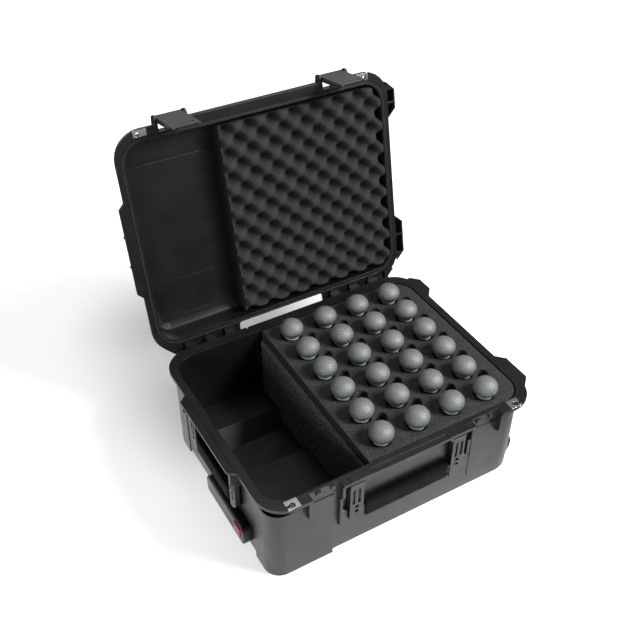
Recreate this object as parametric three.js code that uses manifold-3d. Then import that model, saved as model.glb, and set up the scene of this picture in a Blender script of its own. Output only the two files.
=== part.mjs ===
import * as THREE from 'three';
import { mergeVertices } from 'three/addons/utils/BufferGeometryUtils.js';
import Module from 'manifold-3d';

const wasm = await Module();
wasm.setup();

// All sizes are in millimetres. X runs along the case, from the pull handle to the wheels,
// Y runs to the back and Z up. The origin is the middle of the footprint, on the ground.

// Gaps, overruns and facets
const GAP = 0.3;
const SEAL_GAP = 0.6;
const OVERRUN = 3;
const ARC_STEPS = 4;
const EDGE_STEPS = 2;
const ROUND_SIDES = 12;
const DEGREE = Math.PI / 180;

// Container
const BASE_LENGTH = 580;
const BASE_DEPTH = 440;
const RIM_HEIGHT = 210;
const FOOT_HEIGHT = 5;
const FLOOR_THICKNESS = 4;
const OPENING_LENGTH = 573;
const OPENING_DEPTH = 432;
const OPENING_RADIUS = 45;
const BASE_EDGE = 6;
const FLOOR_EDGE = 7;
const FLANGE_LENGTH = 606;
const FLANGE_DEPTH = 480;
const FLANGE_RADIUS = 57;
const FLANGE_THICKNESS = 8;
const POST_PROUD = 1.5;
const POST_INNER_X = 159;
const POST_INNER_Y = 155;
const POST_BOTTOM_Z = 40;
const POST_TOP_Z = 175;
const POST_CORNER_RADIUS = 34;
const FOOT_INSET = 7;
const FOOT_INNER_X = 163;
const FOOT_OUTER_X = 282;
const FOOT_WIDTH = 24;

// Front of the container: latch bays, brackets, shelf
const BRACKET_PROUD = 16;
const LATCH_BAY_INNER_X = 149;
const LATCH_BAY_OUTER_X = 213;
const LATCH_BAY_LIP = 3;
const FIN_THICKNESS = 6;
const FIN_DROP = 54;
const FIN_RISE = 8;
const BRACKET_DROP = 50;
const CHEEK_PROUD = 8;
const CHEEK_INNER_X = 133;
const CHEEK_TOP_DROP = 84;
const CHEEK_BOTTOM_DROP = 129;
const CHEEK_SLOPE = 7;
const SHELF_DROP = 1.7;
const SHELF_SEAL_WIDTH = 10;
const PAD_INNER_X = 85;
const PAD_OUTER_X = 133;
const TAB_HALF = 16;
const TAB_HEIGHT = 4;
const TAB_DEPTH = 4;
const CATCH_NEAR = 10;
const CATCH_WIDTH = 10;
const CATCH_HEIGHT = 4;
const CATCH_DEPTH = 8;

// Carrying handles, front and left end
const HANDLE_PIVOT_DROP = 18;
const HANDLE_PIVOT_OUT = 8.3;
const ARM_THICKNESS = 11;
const ARM_END_RADIUS = 7.5;
const ARM_REACH = 111;
const ARM_CHAMFER = 14;
const ARM_GROOVE = 5;
const ARM_GROOVE_DEPTH = 3.5;
const ARM_GROOVE_TOP = 18;
const ARM_GROOVE_BOTTOM = 56;
const ARM_WINDOW = 7;
const ARM_WINDOW_DROP = 66;
const ARM_WINDOW_PITCH = 13;
const HANDLE_BAR_DROP = 87;
const HANDLE_BAR_HEIGHT = 22;
const HANDLE_BAR_THICKNESS = 6;
const GRIP_HEIGHT = 40;
const GRIP_THICKNESS = 15;
const GRIP_RADIUS = 6.5;
const GRIP_END_GAP = 4;
const HANDLE_PIN_RADIUS = 3;
const LUG_THICKNESS = 6;
const LUG_HEIGHT = 16;
const FRONT_ARM_INNER_X = 101;
const FRONT_ARM_OUTER_X = 131;
const SIDE_ARM_INNER_Y = 77;
const SIDE_ARM_OUTER_Y = 101;
const SIDE_BRACKET_INNER_Y = 104;
const SIDE_SHELF_OUT = 28;
const SIDE_SHELF_TOP_DROP = 2;
const SIDE_SHELF_THICKNESS = 6;
const SIDE_SHELF_HALF = 104;
const SIDE_SHELF_FOOT = 116;

// End bumpers, on the wheel end
const BUMPER_OUT = 18;
const BUMPER_WALL = 4;
const BUMPER_HEIGHT = 30;
const BUMPER_DROP = 0.6;
const BUMPER_SLOPE = 18;
const BASE_BUMPER_FRONT_NEAR = 98;
const BASE_BUMPER_FRONT_FAR = 180;
const BASE_BUMPER_BACK_NEAR = 138;
const BASE_BUMPER_BACK_FAR = 213;
const BUMPER_RIB = 145;
const BUMPER_RIB_BACK = 176;
const LID_BUMPER_OUT = 19;
const LID_BUMPER_HEIGHT = 24;
const LID_BUMPER_FRONT_NEAR = 131;
const LID_BUMPER_FRONT_FAR = 208;
const LID_BUMPER_BACK_NEAR = 97;
const LID_BUMPER_BACK_FAR = 208;
const LID_BUMP_LEFT_OUT = 11.5;
const LID_BUMP_LEFT_FRONT = 106;
const LID_BUMP_LEFT_BACK = 99;
const LID_BUMP_LEFT_RIB_FRONT = 34;
const LID_BUMP_LEFT_RIB_BACK = 30;
const LID_BUMP_RIB = 3;

// Wheels and their corner wells
const WHEEL_X = 256;
const WHEEL_RADIUS = 41.5;
const WHEEL_LIFT = 1;
const WHEEL_WIDTH = 28;
const WHEEL_OUTER_Y = 196;
const WHEEL_SIDES = 20;
const TREAD_EDGE = 5;
const HUB_RADIUS = 15;
const HUB_PROUD = 1.5;
const RIM_RADIUS = 30;
const RIM_DISH = 4;
const AXLE_RADIUS = 5;
const WELL_CLEARANCE = 4;
const WELL_SIDE_CLEARANCE = 2.5;
const WELL_WALL = 3.5;
const AXLE_SEAT = 2;

// Pull handle, its tubes, sleeves and channel
const PULL_BAR_FRONT_Y = -138;
const PULL_BAR_BACK_Y = 28;
const PULL_BAR_BOTTOM_Z = 18;
const PULL_BAR_TOP_Z = 68;
const PULL_BAR_THICKNESS = 18;
const PULL_BAR_EDGE = 6;
const PULL_BAR_END = 16;
const PULL_SCOOP_HALF = 30;
const PULL_SCOOP_DEPTH = 11;
const PULL_SCOOP_TOP_Z = 52;
const TUBE_FRONT_Y = -106;
const TUBE_BACK_Y = -16;
const TUBE_Z = 28;
const TUBE_RADIUS = 9;
const TUBE_SEAT = 11;
const TUBE_LENGTH = 430;
const SLEEVE_WALL = 2.5;
const SLEEVE_LENGTH = 436;
const CHANNEL_WALL = 3.5;
const CHANNEL_MARGIN = 18;
const CHANNEL_RIB = 6;
const CENTRE_FOOT_HALF = 20;
const CENTRE_FOOT_MARGIN = 14;
const CHANNEL_END_X = 150;
const BUTTON_FRONT_Y = -127;
const BUTTON_BACK_Y = -100;
const BUTTON_BOTTOM_Z = 38;
const BUTTON_TOP_Z = 61;
const BUTTON_PROUD = 3;
const BUTTON_SEAT = 3;
const BUTTON_TRAVEL = 2.2;
const BUTTON_EDGE = 2;

// Raised step on the compartment floor, at the back wall
const STEP_TOE_Y = 108;
const STEP_TOP_Y = 142;
const STEP_TOP_Z = 45;
const STEP_WALL = 4;
const STEP_END_X = -87;

// Hinge
const HINGE_Y = 243;
const HINGE_DROP = 12;
const KNUCKLE_RADIUS = 7;
const KNUCKLE_COUNT = 7;
const KNUCKLE_GAP = 0.4;
const HINGE_PIN_RADIUS = 3;
const HINGE_LEFT_OUTER = -262;
const HINGE_LEFT_INNER = -101;
const HINGE_RIGHT_INNER = 92;
const HINGE_RIGHT_OUTER = 268;
const HINGE_ARM_OUT = 7;
const HINGE_SILL_Y = 225;
const HINGE_SILL_SLOPE = 7;
const HINGE_PLATE_OUT = 5;
const HINGE_PLATE_THICKNESS = 3;
const HINGE_GUSSET = 22;
const LID_OPEN_ANGLE = 102;

// Lid, described as it lies when closed
const LID_HEIGHT = 55;
const LID_LENGTH = 582;
const LID_DEPTH = 442;
const LID_RADIUS = 47;
const LID_EDGE = 20;
const LID_INNER_LENGTH = 572;
const LID_INNER_DEPTH = 428;
const LID_INNER_RADIUS = 42;
const LID_INNER_EDGE = 16;
const LID_INNER_HEIGHT = 50;
const LID_FLANGE_THICKNESS = 8;
const LID_PAD_PROUD = 1.6;
const LID_PAD_LENGTH = 210;
const LID_PAD_DEPTH = 150;
const LID_PAD_RADIUS = 12;
const LID_PAD_X = 130;
const LID_PAD_Y = 90;
const LIP_DROP = 7;
const LIP_RIB = 3;
const LIP_HEIGHT = 9;
const LIP_WIDTH = 4;
const LIP_HALF = 143;
const LIP_RIB_LEFT_X = -73;
const LIP_RIB_MID_X = -6;
const LIP_RIB_RIGHT_X = 72;
const GASKET_LENGTH = 582;
const GASKET_DEPTH = 441;
const GASKET_RADIUS = 49;
const GASKET_WIDTH = 4;
const GASKET_HEIGHT = 3;

// Marks pressed into the lid's inner panel
const PANEL_CUT = 1.2;
const GROOVE_LEFT_X = -273;
const GROOVE_RIGHT_X = -90;
const GROOVE_Y = -155;
const GROOVE_WIDTH = 4;
const RECESS_LEFT_X = -217;
const RECESS_RIGHT_X = -167;
const RECESS_FRONT_Y = -195;
const RECESS_BACK_Y = -170;
const PLAQUE_LEFT_X = -210;
const PLAQUE_RIGHT_X = -130;
const PLAQUE_FRONT_Y = 51;
const PLAQUE_BACK_Y = 104;
const NOTCH_LEFT_X = -212;
const NOTCH_RIGHT_X = -150;
const NOTCH_FRONT_Y = 153;
const NOTCH_BACK_Y = 186;

// Latches, on lugs at the front of the lid
const LATCH_X = 179;
const LATCH_WIDTH = 56;
const LATCH_PIVOT_Y = -247;
const LATCH_PIVOT_RISE = 14;
const LATCH_REACH = 86;
const LATCH_TOP = 6;
const LATCH_SKIN = 3;
const LATCH_OUT = 5;
const LATCH_CHEEK = 4;
const LATCH_CHEEK_DEPTH = 6;
const LATCH_HOOK_DROP = 29;
const LATCH_HOOK_HEIGHT = 5;
const LATCH_HOOK_HALF = 22;
const LATCH_HOOK_TIP = 17.2;
const LATCH_SLOT_DROP = 70;
const LATCH_SLOT_HEIGHT = 9;
const LATCH_SLOT_HALF = 20;
const LATCH_EAR_HEIGHT = 6;
const LATCH_EAR_WIDTH = 5;
const LATCH_REST_TILT = 2;
const LATCH_PIN_RADIUS = 2.5;
const LATCH_LUG_THICKNESS = 5;
const LATCH_LUG_GAP = 0.5;
const LATCH_LUG_RADIUS = 8;
const LATCH_FLANGE_LIP = 4;
const TRIGGER_THICKNESS = 2.5;
const TRIGGER_TOP_DROP = 42;
const TRIGGER_HALF = 19;
const TRIGGER_BAR = 4;
const TRIGGER_SIDE_GAP = 0.5;

// Padlock plates
const PLATE_INNER_X = 236;
const PLATE_LENGTH = 26;
const PLATE_FRONT_INSET = 1;
const PLATE_DEPTH = 22;
const PLATE_THICKNESS = 1;
const PLATE_NOTCH_RADIUS = 6;
const LID_PLATE_INNER_X = 232;
const LID_PLATE_LENGTH = 27;
const LID_PLATE_DEPTH = 14;
const PADLOCK_HOLE_X = 250;
const PADLOCK_HOLE_RADIUS = 4.5;
const LID_HOLE_RADIUS = 4.5;

// Foam
const FOAM_LEFT_X = -80;
const FOAM_RIGHT_X = 283.5;
const FOAM_HALF_DEPTH = 213;
const FOAM_CORNER = 42;
const FOAM_TOP_THICKNESS = 25;
const STACK_LEFT_X = -82;
const STACK_WAVE = 3.5;
const STACK_LAYER = 25;
const LID_FOAM_LEFT_X = -88;
const LID_FOAM_RIGHT_X = 285;
const LID_FOAM_HALF_DEPTH = 205;
const LID_FOAM_THICKNESS = 49.7;
const LID_FOAM_VALLEY = 26;
const LID_FOAM_PITCH = 51;
const LID_FOAM_PEAK_Y = -16;
const LID_FOAM_CELLS_X = 29;
const LID_FOAM_CELLS_Y = 32;
const FOAM_NOTCH_GAP = 1;

// Microphones and their pockets
const MIC_COLUMNS = 4;
const MIC_ROWS = 6;
const MIC_FIRST_X = -30.5;
const MIC_FIRST_Y = 168.8;
const MIC_PITCH_X = 81.8;
const MIC_PITCH_Y = 69.25;
const MIC_HEAD_RADIUS = 25;
const MIC_HEAD_RISE = 17.5;
const MIC_DOME_HEIGHT = 22;
const MIC_DOME_ANGLES = [25, 58];
const MIC_BAND_DROP = 1.5;
const MIC_NECK_DROP = 14.5;
const MIC_NECK_RADIUS = 16.5;
const MIC_RING_HEIGHT = 5;
const MIC_BODY_RADIUS = 15.5;
const MIC_TAIL_RADIUS = 11.5;
const MIC_LENGTH = 150;
const MIC_BODY_TOP_DROP = 24;
const MIC_SIDES = 8;
const POCKET_RADIUS = 20.5;
const THUMB_RADIUS = 11.5;
const THUMB_REACH = 60;
const THUMB_EDGE = 4;
const THUMB_ANGLE = 56;

// Places worked out from the sizes
const RIM_Z = RIM_HEIGHT;
const FLANGE_BOTTOM_Z = RIM_Z - FLANGE_THICKNESS;
const FLOOR_TOP_Z = FOOT_HEIGHT + FLOOR_THICKNESS;
const END_X = BASE_LENGTH / 2;
const FRONT_Y = -BASE_DEPTH / 2;
const FLANGE_FRONT_Y = -FLANGE_DEPTH / 2;
const FLANGE_END_X = FLANGE_LENGTH / 2;
const BRACKET_Y = FRONT_Y - BRACKET_PROUD;
const HINGE_Z = RIM_Z - HINGE_DROP;
const LID_Z = RIM_Z + SEAL_GAP;
const LID_TOP_Z = RIM_Z + LID_HEIGHT;
const PANEL_Z = RIM_Z + LID_INNER_HEIGHT;
const WHEEL_Z = WHEEL_LIFT + WHEEL_RADIUS;
const WHEEL_INNER_Y = WHEEL_OUTER_Y - WHEEL_WIDTH;
const HANDLE_PIVOT_Z = RIM_Z - HANDLE_PIVOT_DROP;

// Shapes and solids

function roundedRect(length, depth, radius) {
  const x = length / 2;
  const y = depth / 2;
  const shape = new THREE.Shape();
  shape.moveTo(x, -y + radius);
  shape.lineTo(x, y - radius);
  shape.absarc(x - radius, y - radius, radius, 0, Math.PI / 2, false);
  shape.lineTo(-x + radius, y);
  shape.absarc(-x + radius, y - radius, radius, Math.PI / 2, Math.PI, false);
  shape.lineTo(-x, -y + radius);
  shape.absarc(-x + radius, -y + radius, radius, Math.PI, Math.PI * 3 / 2, false);
  shape.lineTo(x - radius, -y);
  shape.absarc(x - radius, -y + radius, radius, Math.PI * 3 / 2, Math.PI * 2, false);
  return shape;
}

function polygon(points) {
  return new THREE.Shape(points.map(([u, v]) => new THREE.Vector2(u, v)));
}

function circle(radius, u = 0, v = 0, sides = ROUND_SIDES) {
  const points = [];
  for (let i = 0; i < sides; i += 1) {
    const angle = 2 * Math.PI * (i + 0.5) / sides;
    points.push([u + radius * Math.cos(angle), v + radius * Math.sin(angle)]);
  }
  return polygon(points);
}

// Radius of a faceted bore whose flats stay clear of a round of the given radius.
function boreRadius(radius, sides = ROUND_SIDES) {
  return (radius + GAP) / Math.cos(Math.PI / sides);
}

function extrude(shape, depth) {
  return new THREE.ExtrudeGeometry(shape, { depth, bevelEnabled: false, curveSegments: ARC_STEPS });
}

// Upright prism from z0 to z1.
function upright(shape, z0, z1) {
  return extrude(shape, z1 - z0).translate(0, 0, z0);
}

// Prism along X: the shape's first axis is Y and its second is Z.
function alongX(shape, x0, x1) {
  const basis = new THREE.Matrix4().makeBasis(
    new THREE.Vector3(0, 1, 0), new THREE.Vector3(0, 0, 1), new THREE.Vector3(1, 0, 0));
  return extrude(shape, x1 - x0).applyMatrix4(basis).translate(x0, 0, 0);
}

// Prism along Y: the shape's first axis is X and its second is Z.
function alongY(shape, y0, y1) {
  const basis = new THREE.Matrix4().makeBasis(
    new THREE.Vector3(1, 0, 0), new THREE.Vector3(0, 0, 1), new THREE.Vector3(0, -1, 0));
  return extrude(shape, y1 - y0).applyMatrix4(basis).translate(0, y1, 0);
}

function box(x0, x1, y0, y1, z0, z1) {
  const geometry = new THREE.BoxGeometry(Math.abs(x1 - x0), Math.abs(y1 - y0), Math.abs(z1 - z0));
  return geometry.translate((x0 + x1) / 2, (y0 + y1) / 2, (z0 + z1) / 2);
}

// Upright block with rounded corners and rounded top and bottom edges.
function softBlock(length, depth, radius, edge, z0, z1) {
  const shape = roundedRect(length - 2 * edge, depth - 2 * edge, radius - edge);
  const geometry = new THREE.ExtrudeGeometry(shape, {
    depth: z1 - z0 - 2 * edge, bevelEnabled: true, bevelSize: edge, bevelThickness: edge,
    bevelSegments: EDGE_STEPS, curveSegments: ARC_STEPS,
  });
  return geometry.translate(0, 0, z0 + edge);
}

function solid(geometry) {
  if (geometry instanceof wasm.Manifold) return geometry;
  const bare = geometry.clone();
  bare.deleteAttribute('normal');
  bare.deleteAttribute('uv');
  const merged = mergeVertices(bare);
  return new wasm.Manifold(new wasm.Mesh({
    numProp: 3,
    vertProperties: new Float32Array(merged.attributes.position.array),
    triVerts: new Uint32Array(merged.index.array),
  }));
}

function join(...pieces) {
  return pieces.map(solid).reduce((a, b) => a.add(b));
}

function cut(body, ...tools) {
  return tools.map(solid).reduce((a, b) => a.subtract(b), solid(body));
}

function common(a, b) {
  return solid(a).intersect(solid(b));
}

function toGeometry(body) {
  if (!(body instanceof wasm.Manifold)) return body;
  const mesh = body.asOriginal().simplify().getMesh();
  const indexed = new THREE.BufferGeometry();
  const stride = mesh.numProp;
  const count = mesh.vertProperties.length / stride;
  const positions = new Float32Array(count * 3);
  for (let i = 0; i < count; i += 1) {
    positions.set(mesh.vertProperties.subarray(i * stride, i * stride + 3), i * 3);
  }
  indexed.setAttribute('position', new THREE.BufferAttribute(positions, 3));
  indexed.setIndex(new THREE.BufferAttribute(new Uint32Array(mesh.triVerts), 1));
  const geometry = indexed.toNonIndexed();
  geometry.computeVertexNormals();
  return geometry;
}

// Materials
function plain(color, roughness, metalness = 0) {
  return new THREE.MeshStandardMaterial({ color, roughness, metalness });
}
const shellPlastic = plain(0x3c3c3e, 0.6);
const latchPlastic = plain(0x55565a, 0.5);
const gripRubber = plain(0x1c1c1e, 0.8);
const sealRubber = plain(0x141414, 0.9);
const foamBlack = plain(0x2c2c2e, 1);
const steel = plain(0xc8c8cc, 0.35, 1);
const tubeMetal = plain(0x9a9ca0, 0.4, 1);
const redPlastic = plain(0xc02c2c, 0.5);
const tyreRubber = plain(0x202022, 0.85);
const micGrey = plain(0x9c9fa2, 0.5, 0.6);

const part = new THREE.Group();
part.name = 'microphone_case';
const lid = new THREE.Group();
lid.position.set(0, HINGE_Y, HINGE_Z);
lid.rotation.x = -LID_OPEN_ANGLE * DEGREE;
part.add(lid);
const lidFrame = new THREE.Group();
lidFrame.position.set(0, -HINGE_Y, -HINGE_Z);
lid.add(lidFrame);

function addMesh(parent, name, body, material) {
  const mesh = new THREE.Mesh(toGeometry(body), material);
  mesh.name = name;
  parent.add(mesh);
  return mesh;
}

// Hinge: knuckles shared in turn by the container and the lid
const HINGE_GROUPS = [
  { name: 'left', start: HINGE_LEFT_OUTER, end: HINGE_LEFT_INNER },
  { name: 'right', start: HINGE_RIGHT_INNER, end: HINGE_RIGHT_OUTER },
];

function knuckleSpans(group, onBase) {
  const pitch = (group.end - group.start) / KNUCKLE_COUNT;
  const spans = [];
  for (let i = 0; i < KNUCKLE_COUNT; i += 1) {
    const start = group.start + i * pitch;
    if ((i % 2 === 0) === onBase) {
      spans.push([start + KNUCKLE_GAP / 2, start + pitch - KNUCKLE_GAP / 2]);
    }
  }
  return spans;
}

function hingeBore(group) {
  return alongX(circle(boreRadius(HINGE_PIN_RADIUS), HINGE_Y, HINGE_Z),
    group.start - OVERRUN, group.end + OVERRUN);
}

// Wheel well: round over the wheel, straight down to the ground and out through the end wall
function wellBody(grow, sideGrow, side) {
  const radius = WHEEL_RADIUS + WELL_CLEARANCE + grow;
  const yIn = WHEEL_INNER_Y - WELL_SIDE_CLEARANCE - sideGrow;
  const yOut = WHEEL_OUTER_Y + WELL_SIDE_CLEARANCE + sideGrow;
  const y0 = side < 0 ? -yOut : yIn;
  const y1 = side < 0 ? -yIn : yOut;
  const end = END_X + POST_PROUD + OVERRUN;
  return join(
    alongY(circle(radius, WHEEL_X, WHEEL_Z, WHEEL_SIDES), y0, y1),
    box(WHEEL_X, end, y0, y1, -OVERRUN, WHEEL_Z + radius * Math.cos(Math.PI / WHEEL_SIDES)),
    box(WHEEL_X - radius * Math.cos(Math.PI / WHEEL_SIDES), end, y0, y1, -OVERRUN, WHEEL_Z),
  );
}

// Tube channel: open underneath, with bridging ribs that hold the sleeves
const CHANNEL_FRONT_Y = TUBE_FRONT_Y - CHANNEL_MARGIN;
const CHANNEL_BACK_Y = TUBE_BACK_Y + CHANNEL_MARGIN;
const SLEEVE_RADIUS = TUBE_RADIUS + GAP + SLEEVE_WALL;
const CHANNEL_TOP_Z = TUBE_Z + SLEEVE_RADIUS + GAP;
const CHANNEL_LEFT_X = -OPENING_LENGTH / 2;

// End plate of a carrying handle's shelf and the bumpers are outlines seen from above
function bumper(nearY, farY, out, outward, z0, z1, ribY) {
  const edge = FLANGE_END_X;
  const inner = edge - BUMPER_OUT;
  const outline = [
    [inner, nearY], [edge, nearY], [edge + out, nearY + outward * BUMPER_SLOPE],
    [edge + out, farY], [edge - BUMPER_WALL, farY + outward * BUMPER_SLOPE], [inner, farY],
  ];
  if (outward < 0) outline.reverse();
  const plate = upright(polygon(outline), z1 - FLANGE_THICKNESS, z1);
  const skirtOutline = [
    [edge - BUMPER_WALL, nearY], [edge, nearY], [edge + out, nearY + outward * BUMPER_SLOPE],
    [edge + out, farY], [edge, farY + outward * BUMPER_SLOPE], [edge - BUMPER_WALL, farY],
    [edge + out - BUMPER_WALL, farY], [edge + out - BUMPER_WALL, nearY + outward * BUMPER_SLOPE],
  ];
  if (outward < 0) skirtOutline.reverse();
  const skirt = upright(polygon(skirtOutline), z0, z1);
  const rib = box(END_X - OVERRUN, edge + out - BUMPER_WALL / 2,
    ribY - BUMPER_WALL / 2, ribY + BUMPER_WALL / 2, z0, z1);
  return join(plate, skirt, rib);
}

// Container
function buildBase() {
  const trimZ = RIM_Z + OVERRUN;
  const above = box(-FLANGE_LENGTH, FLANGE_LENGTH, -FLANGE_DEPTH, FLANGE_DEPTH,
    FLANGE_BOTTOM_Z + FLANGE_THICKNESS / 2, RIM_Z + BASE_DEPTH);
  const wallRadius = OPENING_RADIUS + (BASE_LENGTH - OPENING_LENGTH) / 2;
  const block = cut(
    softBlock(BASE_LENGTH, BASE_DEPTH, wallRadius, BASE_EDGE, FOOT_HEIGHT, RIM_Z + BASE_EDGE * 3), above);
  const flange = upright(roundedRect(FLANGE_LENGTH, FLANGE_DEPTH, FLANGE_RADIUS), FLANGE_BOTTOM_Z, RIM_Z);
  const postRing = upright(
    roundedRect(BASE_LENGTH + 2 * POST_PROUD, BASE_DEPTH + 2 * POST_PROUD, wallRadius + POST_PROUD),
    POST_BOTTOM_Z, POST_TOP_Z);
  const cornerRing = upright(
    roundedRect(BASE_LENGTH + 2 * POST_PROUD, BASE_DEPTH + 2 * POST_PROUD, POST_CORNER_RADIUS), 0, POST_TOP_Z);
  const footRing = upright(
    roundedRect(BASE_LENGTH - 2 * FOOT_INSET, BASE_DEPTH - 2 * FOOT_INSET, wallRadius - FOOT_INSET),
    0, FOOT_HEIGHT + FLOOR_THICKNESS / 2);
  let shell = join(block, flange);

  for (const sx of [-1, 1]) {
    for (const sy of [-1, 1]) {
      const post = common(sx < 0 ? cornerRing : postRing, box(sx * POST_INNER_X, sx * BASE_LENGTH,
        sy * POST_INNER_Y, sy * BASE_DEPTH, -OVERRUN, RIM_Z));
      const footY = BASE_DEPTH / 2 - FOOT_INSET;
      const foot = common(footRing, box(sx * FOOT_INNER_X, sx * FOOT_OUTER_X,
        sy * (footY - FOOT_WIDTH), sy * BASE_DEPTH, -OVERRUN, RIM_Z));
      shell = join(shell, post, foot);
    }
  }

  // Front: fins, brackets, cheeks, catches, lugs
  for (const s of [-1, 1]) {
    const finProfile = polygon([
      [BRACKET_Y, FLANGE_BOTTOM_Z - FIN_DROP + FIN_RISE], [FRONT_Y + OVERRUN, FLANGE_BOTTOM_Z - FIN_DROP],
      [FRONT_Y + OVERRUN, FLANGE_BOTTOM_Z + FLANGE_THICKNESS / 2],
      [BRACKET_Y, FLANGE_BOTTOM_Z + FLANGE_THICKNESS / 2],
    ]);
    const finA = s * LATCH_BAY_OUTER_X;
    const finB = s * (LATCH_BAY_OUTER_X + FIN_THICKNESS);
    const fin = alongX(finProfile, Math.min(finA, finB), Math.max(finA, finB));
    const wallProfile = polygon([
      [BRACKET_Y, RIM_Z - BRACKET_DROP + FIN_RISE], [FRONT_Y + OVERRUN, RIM_Z - BRACKET_DROP],
      [FRONT_Y + OVERRUN, RIM_Z - SHELF_DROP], [BRACKET_Y, RIM_Z - SHELF_DROP],
    ]);
    const wallA = s * LATCH_BAY_INNER_X;
    const wallB = s * (LATCH_BAY_INNER_X - FIN_THICKNESS);
    const wall = alongX(wallProfile, Math.min(wallA, wallB), Math.max(wallA, wallB));
    const cheekProfile = polygon([
      [FRONT_Y - CHEEK_PROUD, RIM_Z - CHEEK_BOTTOM_DROP + CHEEK_SLOPE],
      [FRONT_Y + OVERRUN, RIM_Z - CHEEK_BOTTOM_DROP - CHEEK_SLOPE],
      [FRONT_Y + OVERRUN, RIM_Z - CHEEK_TOP_DROP],
      [FRONT_Y - CHEEK_PROUD, RIM_Z - CHEEK_TOP_DROP - CHEEK_SLOPE],
    ]);
    const cheekA = s * LATCH_BAY_INNER_X;
    const cheekB = s * CHEEK_INNER_X;
    const cheek = alongX(cheekProfile, Math.min(cheekA, cheekB), Math.max(cheekA, cheekB));
    const rail = box(wallA, wallB, FRONT_Y - CHEEK_PROUD, FRONT_Y + OVERRUN,
      RIM_Z - CHEEK_TOP_DROP - CHEEK_SLOPE, RIM_Z - BRACKET_DROP);
    const lugInner = FRONT_ARM_INNER_X - GAP;
    const lug = box(s * lugInner, s * (lugInner - LUG_THICKNESS),
      FRONT_Y - HANDLE_PIVOT_OUT - HANDLE_PIN_RADIUS * 2, FRONT_Y + OVERRUN,
      FLANGE_BOTTOM_Z - LUG_HEIGHT, FLANGE_BOTTOM_Z + FLANGE_THICKNESS / 2);
    const catchCentres = [LATCH_X - CATCH_NEAR - CATCH_WIDTH / 2, LATCH_X + CATCH_NEAR + CATCH_WIDTH / 2];
    const catches = catchCentres.map((x) => box(
      s * (x - CATCH_WIDTH / 2), s * (x + CATCH_WIDTH / 2), FRONT_Y - CATCH_DEPTH, FRONT_Y + OVERRUN,
      FLANGE_BOTTOM_Z - CATCH_HEIGHT, FLANGE_BOTTOM_Z + FLANGE_THICKNESS / 2));
    const bay = box(s * LATCH_BAY_INNER_X, s * LATCH_BAY_OUTER_X, FLANGE_FRONT_Y - OVERRUN,
      FRONT_Y - LATCH_BAY_LIP, FLANGE_BOTTOM_Z - GAP, trimZ);
    shell = join(cut(shell, bay), fin, wall, cheek, rail, lug, ...catches);
  }
  const centreFoot = box(-CENTRE_FOOT_HALF, CENTRE_FOOT_HALF, CHANNEL_FRONT_Y - CENTRE_FOOT_MARGIN,
    CHANNEL_BACK_Y + CENTRE_FOOT_MARGIN, 0, FLOOR_TOP_Z);
  const tab = box(-TAB_HALF, TAB_HALF, FLANGE_FRONT_Y, FLANGE_FRONT_Y + TAB_DEPTH,
    FLANGE_BOTTOM_Z - TAB_HEIGHT, FLANGE_BOTTOM_Z + FLANGE_THICKNESS / 2);
  shell = join(shell, tab, centreFoot);
  const shelfY = FRONT_Y - SHELF_SEAL_WIDTH + LATCH_BAY_LIP;
  const shelfCuts = [
    box(-PAD_INNER_X, PAD_INNER_X, FLANGE_FRONT_Y - OVERRUN, shelfY, RIM_Z - SHELF_DROP, trimZ),
    box(-LATCH_BAY_INNER_X, -PAD_OUTER_X, FLANGE_FRONT_Y - OVERRUN, shelfY, RIM_Z - SHELF_DROP, trimZ),
    box(PAD_OUTER_X, LATCH_BAY_INNER_X, FLANGE_FRONT_Y - OVERRUN, shelfY, RIM_Z - SHELF_DROP, trimZ),
  ];

  // Left end: handle shelf and its brackets
  const shelfX = -END_X - SIDE_SHELF_OUT;
  const shelfOutline = polygon([
    [-FLANGE_END_X + OVERRUN, -SIDE_SHELF_FOOT], [-FLANGE_END_X + OVERRUN, SIDE_SHELF_FOOT],
    [-FLANGE_END_X, SIDE_SHELF_FOOT], [shelfX, SIDE_SHELF_HALF], [shelfX, -SIDE_SHELF_HALF],
    [-FLANGE_END_X, -SIDE_SHELF_FOOT],
  ].reverse());
  const shelfTop = RIM_Z - SIDE_SHELF_TOP_DROP;
  const sideShelf = upright(shelfOutline, shelfTop - SIDE_SHELF_THICKNESS, shelfTop);
  const sideWalls = [-1, 1].map((s) => alongY(polygon([
    [-END_X + OVERRUN, RIM_Z - BRACKET_DROP], [-END_X + OVERRUN, shelfTop - SIDE_SHELF_THICKNESS / 2],
    [-END_X - BRACKET_PROUD - FIN_RISE, shelfTop - SIDE_SHELF_THICKNESS / 2],
    [-END_X - BRACKET_PROUD - FIN_RISE, RIM_Z - BRACKET_DROP + FIN_RISE * 2],
  ].reverse()), Math.min(s * SIDE_BRACKET_INNER_Y, s * (SIDE_BRACKET_INNER_Y + FIN_THICKNESS)),
  Math.max(s * SIDE_BRACKET_INNER_Y, s * (SIDE_BRACKET_INNER_Y + FIN_THICKNESS))));
  const sideLugY = SIDE_ARM_INNER_Y - GAP;
  const sideLugs = [-1, 1].map((s) => box(-END_X + OVERRUN,
    -END_X - HANDLE_PIVOT_OUT - HANDLE_PIN_RADIUS * 2, s * sideLugY, s * (sideLugY - LUG_THICKNESS),
    shelfTop - SIDE_SHELF_THICKNESS - LUG_HEIGHT, shelfTop - SIDE_SHELF_THICKNESS / 2));

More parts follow.
